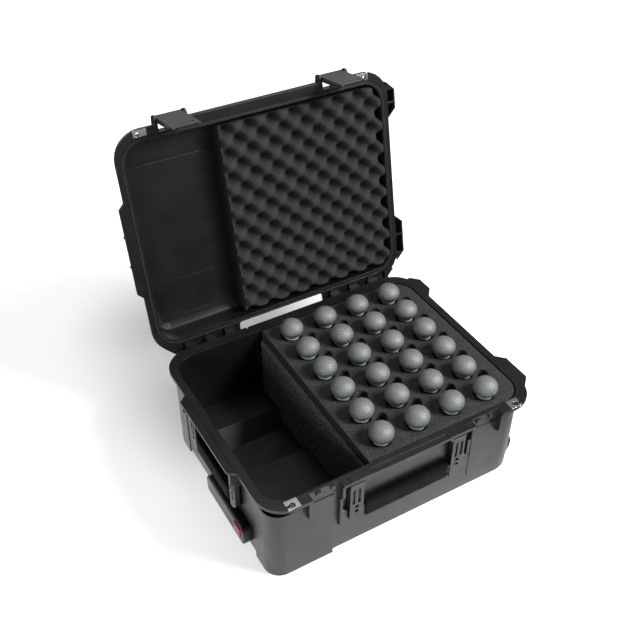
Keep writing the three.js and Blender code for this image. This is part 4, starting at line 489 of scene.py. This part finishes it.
def round_bar(name, node):
    """A round bar along X in the node's box: a circle carried along the bar, drawn in at both ends
    on a quarter round of radius edge."""
    sides, edge = 48, 0.0008
    low, high = (np.array(corner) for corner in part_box(node))
    centre, radius = (low + high) / 2, (high[2] - low[2]) / 2
    round_off = np.linspace(0, np.pi / 2, 5)
    along = edge * (1 - np.cos(round_off))
    inwards = edge * (1 - np.sin(round_off))
    run = np.concatenate([low[0] + along, high[0] - along[::-1]])
    size = radius - np.concatenate([inwards, inwards[::-1]])
    turn = np.linspace(0, 2 * np.pi, sides, endpoint=False)
    points = np.stack(np.broadcast_arrays(run[:, None], centre[1] + size[:, None] * np.cos(turn),
                                          centre[2] + size[:, None] * np.sin(turn)), -1)
    faces = grid_faces(len(run), sides, wrap_columns=True).tolist()
    faces += [list(range(sides)), list(range((len(run) - 1) * sides, len(run) * sides))]
    return new_piece(name, points, faces)


for tube_place in ("front", "back"):
    tube = round_bar(f"drawn_tube_{tube_place}", f"pull_tube_{tube_place}")
    tube.data.materials.append(tube_aluminium)
    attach(tube, "pull_handle")
    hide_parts(f"pull_tube_{tube_place}")
    give_finish(f"pull_sleeve_{tube_place}", tube_aluminium)

# ---------------------------------------------------------------------------
# Wheels.
# Each has a hard plastic rim with spokes sunk between hub and rim, and a black
# rubber tyre with rounded shoulders and two shallow grooves.
# ---------------------------------------------------------------------------
tyre_rubber, tyre_shader = plain_finish("tyre_rubber", (0.014, 0.014, 0.014), 0.75)
tyre_place, _ = drifting_tones(tyre_rubber, tyre_shader, (0.010, 0.010, 0.010),
                               (0.020, 0.0195, 0.019), 0.02)
fine_grain(tyre_rubber, tyre_shader, tyre_place, 0.0012, 0.0004)


def lathed_wheel(name, node):
    """A wheel about Y in the node's box. Its outline, (radius in mm, place across the half width),
    runs from the bore over the hub, the sunk web and the rim to the tyre, and back on the other
    side. The web's depth swells into the spokes as max(0, cos(spokes * turn))^2. The radii are
    those of a wheel of outline_radius, and grow with the box."""
    spokes, spoke_swell = 5, 0.62
    outline_radius, web_inner, web_outer, tyre_inner = 0.0415, 0.016, 0.028, 0.0322
    low, high = (np.array(corner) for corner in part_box(node))
    centre, radius, half = (low + high) / 2, (high[2] - low[2]) / 2, (high[1] - low[1]) / 2
    outline = np.array([
        (5.2, 0.94), (7, 1.0), (14, 1.0), (15.5, 0.92), (16.5, 0.55), (19, 0.5), (25, 0.5),
        (27.5, 0.55), (28.5, 0.92), (30, 1.0), (31.5, 1.0), (32.2, 0.93), (33, 0.99), (37.5, 0.97),
        (40, 0.86), (41.1, 0.68), (41.5, 0.45), (41.5, 0.36), (40.6, 0.32), (40.6, 0.28),
        (41.5, 0.24), (41.5, 0.0)])
    outline *= (radius / outline_radius / 1000, half)
    full = np.concatenate([outline, outline[-2::-1] * (1, -1)])
    turn = np.linspace(0, 2 * np.pi, 90, endpoint=False)
    spoke = np.maximum(0, np.cos(spokes * turn)) ** 2
    reach, across = full[:, 0][:, None], full[:, 1][:, None]
    web = (reach > web_inner) & (reach < web_outer) & (np.abs(across) < 0.6 * half)
    points = np.stack([centre[0] + reach * np.cos(turn),
                       centre[1] + across * (1 + spoke_swell * web * spoke),
                       centre[2] + reach * np.sin(turn)], -1)
    faces = grid_faces(len(full), len(turn), wrap_rows=True, wrap_columns=True)
    wheel = new_piece(name, points, faces.tolist())
    wheel.data.materials.append(shell_plastic)
    wheel.data.materials.append(tyre_rubber)
    middles = np.zeros(len(wheel.data.polygons) * 3)
    wheel.data.polygons.foreach_get("center", middles)
    middles = middles.reshape(-1, 3) - centre
    on_tyre = np.hypot(middles[:, 0], middles[:, 2]) > tyre_inner * radius / outline_radius
    wheel.data.polygons.foreach_set("material_index", on_tyre.astype(np.int32))
    return wheel


for wheel_place in ("front", "back"):
    wheel = lathed_wheel(f"road_wheel_{wheel_place}", f"wheel_{wheel_place}")
    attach(wheel, f"{wheel_place}_wheel")
    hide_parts(f"wheel_{wheel_place}")

# ---------------------------------------------------------------------------
# Foam block.
# Charcoal open-cell foam: a cut top layer with a round pocket and a thumb notch
# for each microphone, glued on a stack of seven layers.
# ---------------------------------------------------------------------------
foam_top_low, foam_top_high = (np.array(corner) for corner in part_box("foam_top"))
foam_corner = 0.042
pocket_radius = 0.0205
thumb_radius = 0.0115
thumb_reach = 0.060
thumb_edge = 0.004
thumb_angle = math.radians(56)
pocket_round = 0.0012
mic_columns, mic_rows = 4, 6
mic_first = np.array([-0.0305, 0.1688])
mic_pitch = np.array([0.0818, -0.06925])
mic_places = [(column + 1, row + 1, *(mic_first + mic_pitch * (column, row)))
              for column in range(mic_columns) for row in range(mic_rows)]

foam_black, foam_shader = plain_finish("foam_black", (0.05, 0.05, 0.05), 0.95)
foam_shader.inputs["Specular IOR Level"].default_value = 0.15
foam_place, _ = drifting_tones(foam_black, foam_shader, (0.026, 0.026, 0.0262),
                               (0.088, 0.088, 0.087), 0.0022, 5.0)
fine_grain(foam_black, foam_shader, foam_place, 0.0020, 0.0011, 0.9)


def foam_outline(left, low_y, high_y, right, corner, inset, steps=14):
    """The block from above: straight at the left, with its two right corners on arcs of radius
    corner, and drawn in by inset all round."""
    arc = np.linspace(0, np.pi / 2, steps)
    size = corner - inset
    across, along = size * np.sin(arc), size * np.cos(arc)
    lower = np.stack([right - corner + across, low_y + corner - along], -1)
    upper = np.stack([right - corner + along, high_y - corner + across], -1)
    start = np.array([[left + inset, high_y - inset], [left + inset, low_y + inset]])
    return np.concatenate([start, lower, upper])


def pocket_outline(x, y, grow, steps=96):
    """One pocket from above: at each angle the further of a circle and of a slot with a round end,
    which points along the thumb angle, both grown by grow. The slot is shorter where the foam's
    edge is near."""
    angle = np.linspace(0, 2 * np.pi, steps, endpoint=False)
    room = foam_top_high[1] - thumb_edge - thumb_radius - y
    reach = min(thumb_reach, room / math.sin(thumb_angle))
    off = angle - thumb_angle
    half = thumb_radius + grow
    side = np.where(np.cos(off) > 0, half / np.maximum(np.abs(np.sin(off)), 1e-9), 0)
    tip = reach * np.cos(off) + np.sqrt(np.maximum(half ** 2 - (reach * np.sin(off)) ** 2, 0))
    slot = np.where(side * np.cos(off) <= reach, side, tip)
    slot = np.where((np.abs(reach * np.sin(off)) > half) & (side * np.cos(off) > reach), 0, slot)
    distance = np.maximum(pocket_radius + grow, slot)
    return np.stack([x + distance * np.cos(angle), y + distance * np.sin(angle)], -1)


def inside_loop(places, loop):
    """Which places lie inside a closed loop of points: a line to the right crosses it an odd number
    of times."""
    after = np.roll(loop, -1, 0)
    x, y = places[:, 0][:, None], places[:, 1][:, None]
    spans = (loop[:, 1] > y) != (after[:, 1] > y)
    rise = np.where(after[:, 1] == loop[:, 1], 1e-12, after[:, 1] - loop[:, 1])
    crossing = loop[:, 0] + (y - loop[:, 1]) / rise * (after[:, 0] - loop[:, 0])
    return (np.sum(spans & (x < crossing), 1) % 2) == 1


def pocketed_layer(name):
    """The top layer: its upper face fills the space between the outline and the pockets' rims, and
    rings of points carry each rim over a small round and down to the layer's underside."""
    top, bottom = foam_top_high[2], foam_top_low[2]
    sizes = (foam_top_low[0], foam_top_low[1], foam_top_high[1], foam_top_high[0], foam_corner)
    pocket_reach, last_ring = 0.09, 0.0001
    loops = [foam_outline(*sizes, pocket_round)]
    loops += [pocket_outline(x, y, pocket_round) for _, _, x, y in mic_places]
    counts = [len(loop) for loop in loops]
    starts = np.concatenate([[0], np.cumsum(counts)[:-1]])
    flat = np.concatenate(loops)
    edges = [(int(s + k), int(s + (k + 1) % n)) for s, n in zip(starts, counts) for k in range(n)]
    filled = geometry.delaunay_2d_cdt([Vector(p) for p in flat], edges, [], 0, 1e-6)
    corners = np.array([tuple(c) for c in filled[0]])
    triangles = np.array(filled[2])
    middle = corners[triangles].mean(1)
    keep = np.ones(len(middle), bool)
    for loop in loops[1:]:
        near = np.hypot(*(middle - loop.mean(0)).T) < pocket_reach
        keep[near] &= ~inside_loop(middle[near], loop)
    keep &= inside_loop(middle, loops[0])
    points = [np.column_stack([corners, np.full(len(corners), height)]) for height in (top, bottom)]
    faces = triangles[keep].tolist() + (triangles[keep][:, ::-1] + len(corners)).tolist()
    count = 2 * len(corners)
    turn = np.linspace(0, np.pi / 2, 4)
    levels = [(pocket_round * (1 - math.sin(t)), top - pocket_round * (1 - math.cos(t)))
              for t in turn]
    for index in range(len(loops)):
        rings = []
        for grow, height in levels:
            ring = (foam_outline(*sizes, grow) if index == 0
                    else pocket_outline(*mic_places[index - 1][2:], grow))
            rings.append(np.column_stack([ring, np.full(len(ring), height)]))
        for ring, height in ((rings[-1][:, :2], bottom + last_ring), (loops[index], bottom)):
            rings.append(np.column_stack([ring, np.full(len(ring), height)]))
        points += rings
        faces += (grid_faces(len(rings), counts[index], wrap_columns=True) + count).tolist()
        count += len(rings) * counts[index]
    return new_piece(name, np.concatenate(points), faces)


top_layer = pocketed_layer("pocketed_foam")
top_layer.data.set_sharp_from_angle(angle=math.radians(50))
top_layer.data.materials.append(foam_black)
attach(top_layer, "container")
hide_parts("foam_top")

# Painted light: the lower layers are the same charcoal foam as the top layer, but their colour is
# made several times lighter to stand in for light that the compartment's walls keep from them.
stack_foam_painted_light, stack_shader = plain_finish("stack_foam_painted_light", (0.1, 0.1, 0.1), 0.95)
stack_shader.inputs["Specular IOR Level"].default_value = 0.1
stack_place, _ = drifting_tones(stack_foam_painted_light, stack_shader, (0.05, 0.05, 0.0503),
                                (0.34, 0.34, 0.337), 0.0034, 6.0)
fine_grain(stack_foam_painted_light, stack_shader, stack_place, 0.0030, 0.0016, 0.9)
stack_edge = 0.0015
lower_layers = rounded_from("foam_stack", "layered_foam", stack_foam_painted_light, stack_edge,
                            "container")

# ---------------------------------------------------------------------------
# Foam pad in the lid.
# Egg-crate foam, cut on a machine that leaves rows of soft peaks and hollows,
# pushed into the lid and held by its own spring.
# ---------------------------------------------------------------------------
pad_left, pad_right, pad_half = -0.088, 0.285, 0.205
pad_thickness, pad_valley, pad_pitch = 0.0497, 0.026, 0.051
pad_back = 0.2597
pad_peak_y = -0.016
pad_corner = np.array([0.244, 0.172])
pad_corner_radius = 0.0408
panel_round = 0.016
lid_wall_x, lid_wall_y = 0.2855, 0.2135
hinge_y, hinge_z = 0.243, 0.198
lid_open = math.radians(-102)


def lid_opened(points):
    """Points of the closed lid, turned about the hinge by the angle at which it stands open."""
    dy, dz = points[..., 1] - hinge_y, points[..., 2] - hinge_z
    return np.stack([points[..., 0], hinge_y + dy * math.cos(lid_open) - dz * math.sin(lid_open),
                     hinge_z + dy * math.sin(lid_open) + dz * math.cos(lid_open)], -1)


def drawn_in(loop, height):
    """A loop of points at that height, drawn in to stay inside the rounded corner between the lid's
    wall and its panel: the wall's line moves in as the quarter circle of radius panel_round does,
    which starts start_gap higher."""
    start_gap = 0.0003
    rise = np.clip(height - (pad_back - panel_round + start_gap), 0, panel_round)
    bow = panel_round - math.sqrt(panel_round ** 2 - rise ** 2)
    x = np.minimum(loop[:, 0], lid_wall_x - bow)
    y = np.clip(loop[:, 1], -(lid_wall_y - bow), lid_wall_y - bow)
    dx, dy = x - pad_corner[0], np.abs(y) - pad_corner[1]
    reach = np.hypot(dx, dy)
    limit = pad_corner_radius - bow
    over = (dx > 0) & (dy > 0) & (reach > limit)
    shrink = np.where(over, limit / np.maximum(reach, 1e-9), 1)
    x = np.where(over, pad_corner[0] + dx * shrink, x)
    y = np.where(over, np.sign(y) * (pad_corner[1] + dy * shrink), y)
    return np.column_stack([x, y, np.full(len(loop), height)])


def egg_crate(name, rows=176, columns=160):
    """The pad: depth = valley + (thickness - valley) (1 - ((1 - w) / 2)^web), where w is the cosine
    along X times the cosine along Y, both with the pitch between two peaks: round hollows in a
    higher web. Each row of the grid ends on the lid's rounded corner, and the rim is carried back
    to the panel."""
    web = 1.6
    y = np.linspace(-pad_half, pad_half, rows)
    past = np.clip(np.abs(y) - pad_corner[1], 0, None)
    end = np.minimum(pad_right, pad_corner[0] + np.sqrt(pad_corner_radius ** 2 - past ** 2))
    share = np.linspace(0, 1, columns)
    x = pad_left + (end[:, None] - pad_left) * share
    yy = np.broadcast_to(y[:, None], x.shape)
    wave = (np.cos(2 * np.pi * (x - pad_right) / pad_pitch)
            * np.cos(2 * np.pi * (yy - pad_peak_y) / pad_pitch))
    depth = pad_valley + (pad_thickness - pad_valley) * (1 - ((1 - wave) / 2) ** web)
    front = np.stack([x, yy, pad_back - depth], -1)
    index = np.arange(rows * columns).reshape(rows, columns)
    rim = np.concatenate([index[0, :-1], index[:-1, -1], index[-1, :0:-1], index[:0:-1, 0]])
    loop = front.reshape(-1, 3)[rim]
    bend = pad_back - panel_round * (1 - np.sin(np.linspace(0.25, 1.35, 5)))
    rings = [loop] + [drawn_in(loop[:, :2], height)
                      for height in (pad_back - panel_round, *bend, pad_back)]
    points = np.concatenate([front.reshape(-1, 3)] + rings)
    faces = grid_faces(rows, columns).tolist()
    faces += (grid_faces(len(rings), len(rim), wrap_columns=True) + rows * columns).tolist()
    faces.append(list(range(len(points) - len(rim), len(points))))
    return new_piece(name, lid_opened(points), faces)


crate_pad = egg_crate("egg_crate_pad")
crate_pad.data.set_sharp_from_angle(angle=math.radians(55))
crate_foam, crate_shader = plain_finish("crate_foam", (0.05, 0.05, 0.05), 0.95)
crate_shader.inputs["Specular IOR Level"].default_value = 0.1
crate_place, crate_tone = drifting_tones(crate_foam, crate_shader, (0.046, 0.046, 0.045),
                                         (0.066, 0.066, 0.064), 0.0022, 5.0)
fine_grain(crate_foam, crate_shader, crate_place, 0.0020, 0.0006, 0.6)
# Painted shade: the pad's colour darkens to 0.3 of its tone at the bottom of each hollow.
crate_tree = crate_foam.node_tree
crate_height = crate_tree.nodes.new("ShaderNodeAttribute")
crate_height.attribute_name = "pad_height"
crate_hollow_painted_shade = mapped(crate_tree, crate_height.outputs["Fac"], (0.0, 1.0), (0.30, 1.0))
crate_tree.links.new(blended(crate_tree, "MULTIPLY", 1.0, crate_tone, crate_hollow_painted_shade),
                     crate_shader.inputs["Base Color"])
crate_pad.data.materials.append(crate_foam)

# The pad's height above its hollows, from 0 to 1, is kept on its points: less light reaches the
# bottom of a hollow, so the colour there is darkened as painted shade. The points are turned back
# to the closed lid to read it.
crate_at = np.zeros(len(crate_pad.data.vertices) * 3)
crate_pad.data.vertices.foreach_get("co", crate_at)
crate_at = crate_at.reshape(-1, 3)
crate_back = (hinge_z - math.sin(lid_open) * (crate_at[:, 1] - hinge_y)
              + math.cos(lid_open) * (crate_at[:, 2] - hinge_z))
crate_share = np.clip((pad_back - crate_back - pad_valley) / (pad_thickness - pad_valley), 0, 1)
crate_pad.data.attributes.new("pad_height", "FLOAT", "POINT").data.foreach_set("value", crate_share)
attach(crate_pad, "lid")
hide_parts("lid_foam")
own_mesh(crate_pad)

# ---------------------------------------------------------------------------
# Microphones.
# Twenty-four hand-held microphones stand in the pockets: a ball of woven steel
# wire with a flat band round it, a collar ring, and a tapered lacquered body.
# ---------------------------------------------------------------------------
head_radius = 0.0250
wire_inset = 0.0006
band_z = 0.2275
band_half = 0.0015
dome_top = 0.2495
neck_z = (0.2130, 0.2080)
neck_radius = 0.0161
body_top_z = 0.2035
body_radius = 0.0155
tail_z = 0.0995
tail_radius = 0.0115
wire_pitch = 0.0035

wire_mesh, wire_shader = plain_finish("wire_mesh", (0.36, 0.367, 0.36), 0.5, 0.3)
wire_tree = wire_mesh.node_tree
wire_uv = wire_tree.nodes.new("ShaderNodeUVMap")
wire_uv.uv_map = "weave"
wire_split = wire_tree.nodes.new("ShaderNodeSeparateXYZ")
wire_tree.links.new(wire_uv.outputs["UV"], wire_split.inputs["Vector"])
wire_waves = []
for wire_way in ("X", "Y"):
    # The sine squared of a coordinate that counts wires is one wire's height, from 0 to 1.
    wire_turn = maths(wire_tree, "MULTIPLY", wire_split.outputs[wire_way], math.pi)
    wire_sine = maths(wire_tree, "SINE", wire_turn)
    wire_waves.append(maths(wire_tree, "MULTIPLY", wire_sine, wire_sine))
wire_height = maths(wire_tree, "MAXIMUM", *wire_waves)
wire_tone = ramped(wire_tree, wire_height, 0.22, (0.015, 0.015, 0.015), 0.80, (0.36, 0.372, 0.364))
wire_tree.links.new(wire_tone, wire_shader.inputs["Base Color"])
pressed(wire_tree, wire_shader, wire_height, 0.0006, 0.55)

band_metal = drawn_metal("band_metal", (0.26, 0.265, 0.265), (0.34, 0.345, 0.345),
                         0.34, 0.46, 0.002)
collar_blue, collar_shader = plain_finish("collar_blue", (0.42, 0.62, 0.70), 0.35)
collar_place, _ = drifting_tones(collar_blue, collar_shader, (0.36, 0.57, 0.66),
                                 (0.52, 0.70, 0.76), 0.01)
drifting_shine(collar_blue, collar_shader, collar_place, 0.28, 0.40, 0.006)
body_lacquer = moulded_plastic("body_lacquer", (0.030, 0.031, 0.033), (0.042, 0.043, 0.045),
                               0.30, 0.42)


def mic_profile():
    """The microphone's outline as (radius, height, finish number) from the top of the ball to the
    tail. The ball is a circle flattened a little at the top; finishes are 0 wire, 1 band, 2 collar,
    3 body."""
    wire_radius = head_radius - wire_inset
    top_turn = np.linspace(0, np.pi / 2 - 0.20, 22)
    dome = np.column_stack([
        head_radius * np.sin(top_turn) ** 0.98,
        band_z + band_half + (dome_top - band_z - band_half) * np.cos(top_turn) ** 1.02,
        np.zeros(len(top_turn))])
    dome[:, 0] = np.minimum(dome[:, 0], wire_radius)
    dome[0, 0] = 0
    band = np.array([(head_radius - 0.0002, band_z + 0.0014, 1), (head_radius, band_z + 0.0009, 1),
                     (head_radius, band_z - 0.0009, 1), (head_radius - 0.0002, band_z - 0.0014, 1)])
    lower_turn = np.linspace(0.06, 1, 12)
    lower_start = band_z - 0.0016
    lower = np.column_stack([
        neck_radius + (wire_radius - neck_radius) * np.cos(lower_turn * np.pi / 2) ** 0.8,
        lower_start - (lower_start - neck_z[0]) * lower_turn, np.zeros(len(lower_turn))])
    collar = np.array([(neck_radius, neck_z[0] - 0.0002, 2),
                       (neck_radius + 0.0004, neck_z[0] - 0.0010, 2),
                       (neck_radius + 0.0004, neck_z[1] + 0.0010, 2), (neck_radius, neck_z[1], 2)])
    taper = np.linspace(0, 1, 8)
    body = np.column_stack([body_radius + (tail_radius - body_radius) * taper,
                            body_top_z + (tail_z + 0.001 - body_top_z) * taper,
                            np.full(len(taper), 3)])
    tail = np.array([(tail_radius - 0.001, tail_z, 3), (0, tail_z, 3)])
    return np.concatenate([dome, band, lower, collar, body, tail])


mic_outline = mic_profile()
mic_sides = 48
mic_turn = np.linspace(0, 2 * np.pi, mic_sides, endpoint=False)
mic_radii, mic_levels = mic_outline[:, 0][:, None], mic_outline[:, 1][:, None]
mic_points = np.stack(np.broadcast_arrays(mic_radii * np.cos(mic_turn),
                                          mic_radii * np.sin(mic_turn), mic_levels), -1)
mic_model = new_piece("mic_model", mic_points,
                      grid_faces(len(mic_outline), mic_sides, wrap_columns=True).tolist())
for mic_finish in (wire_mesh, band_metal, collar_blue, body_lacquer):
    mic_model.data.materials.append(mic_finish)
mic_middles = np.zeros(len(mic_model.data.polygons) * 3)
mic_model.data.polygons.foreach_get("center", mic_middles)
mic_heights = mic_middles.reshape(-1, 3)[:, 2]
mic_kind = np.select([mic_heights > band_z + band_half, mic_heights > band_z - band_half,
                      mic_heights > neck_z[0] - 0.0001, mic_heights > neck_z[1] - 0.0001],
                     [0, 1, 0, 2], 3)
mic_model.data.polygons.foreach_set("material_index", mic_kind.astype(np.int32))

# The weave's own map counts wires: over the ball they run straight across its top, and below the
# band round it.
mic_map = mic_model.data.uv_layers.new(name="weave")
mic_loop_points = np.zeros(len(mic_model.data.loops), np.int32)
mic_model.data.loops.foreach_get("vertex_index", mic_loop_points)
mic_at = np.zeros(len(mic_model.data.vertices) * 3)
mic_model.data.vertices.foreach_get("co", mic_at)
mic_at = mic_at.reshape(-1, 3)[mic_loop_points]
mic_out = np.hypot(mic_at[:, 0], mic_at[:, 1])
mic_down = np.arctan2(mic_out, mic_at[:, 2] - band_z) * head_radius
mic_weave = mic_at[:, :2] / np.maximum(mic_out, 1e-9)[:, None] * mic_down[:, None] / wire_pitch
mic_map.data.foreach_set("uv", mic_weave.ravel())

for mic_column, mic_row, mic_x, mic_y in mic_places:
    mic_name = f"mic_{mic_column}_{mic_row}"
    mic_mesh = mic_model.data.copy()
    mic_turned = Matrix.Rotation(0.7 * mic_column + 1.3 * mic_row, 4, "Z")
    mic_mesh.transform(Matrix.Translation((mic_x, mic_y, 0)) @ mic_turned)
    microphone = bpy.data.objects.new(f"microphone_{mic_column}_{mic_row}", mic_mesh)
    bpy.context.scene.collection.objects.link(microphone)
    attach(microphone, "container")
    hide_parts(mic_name)
bpy.data.objects.remove(mic_model)
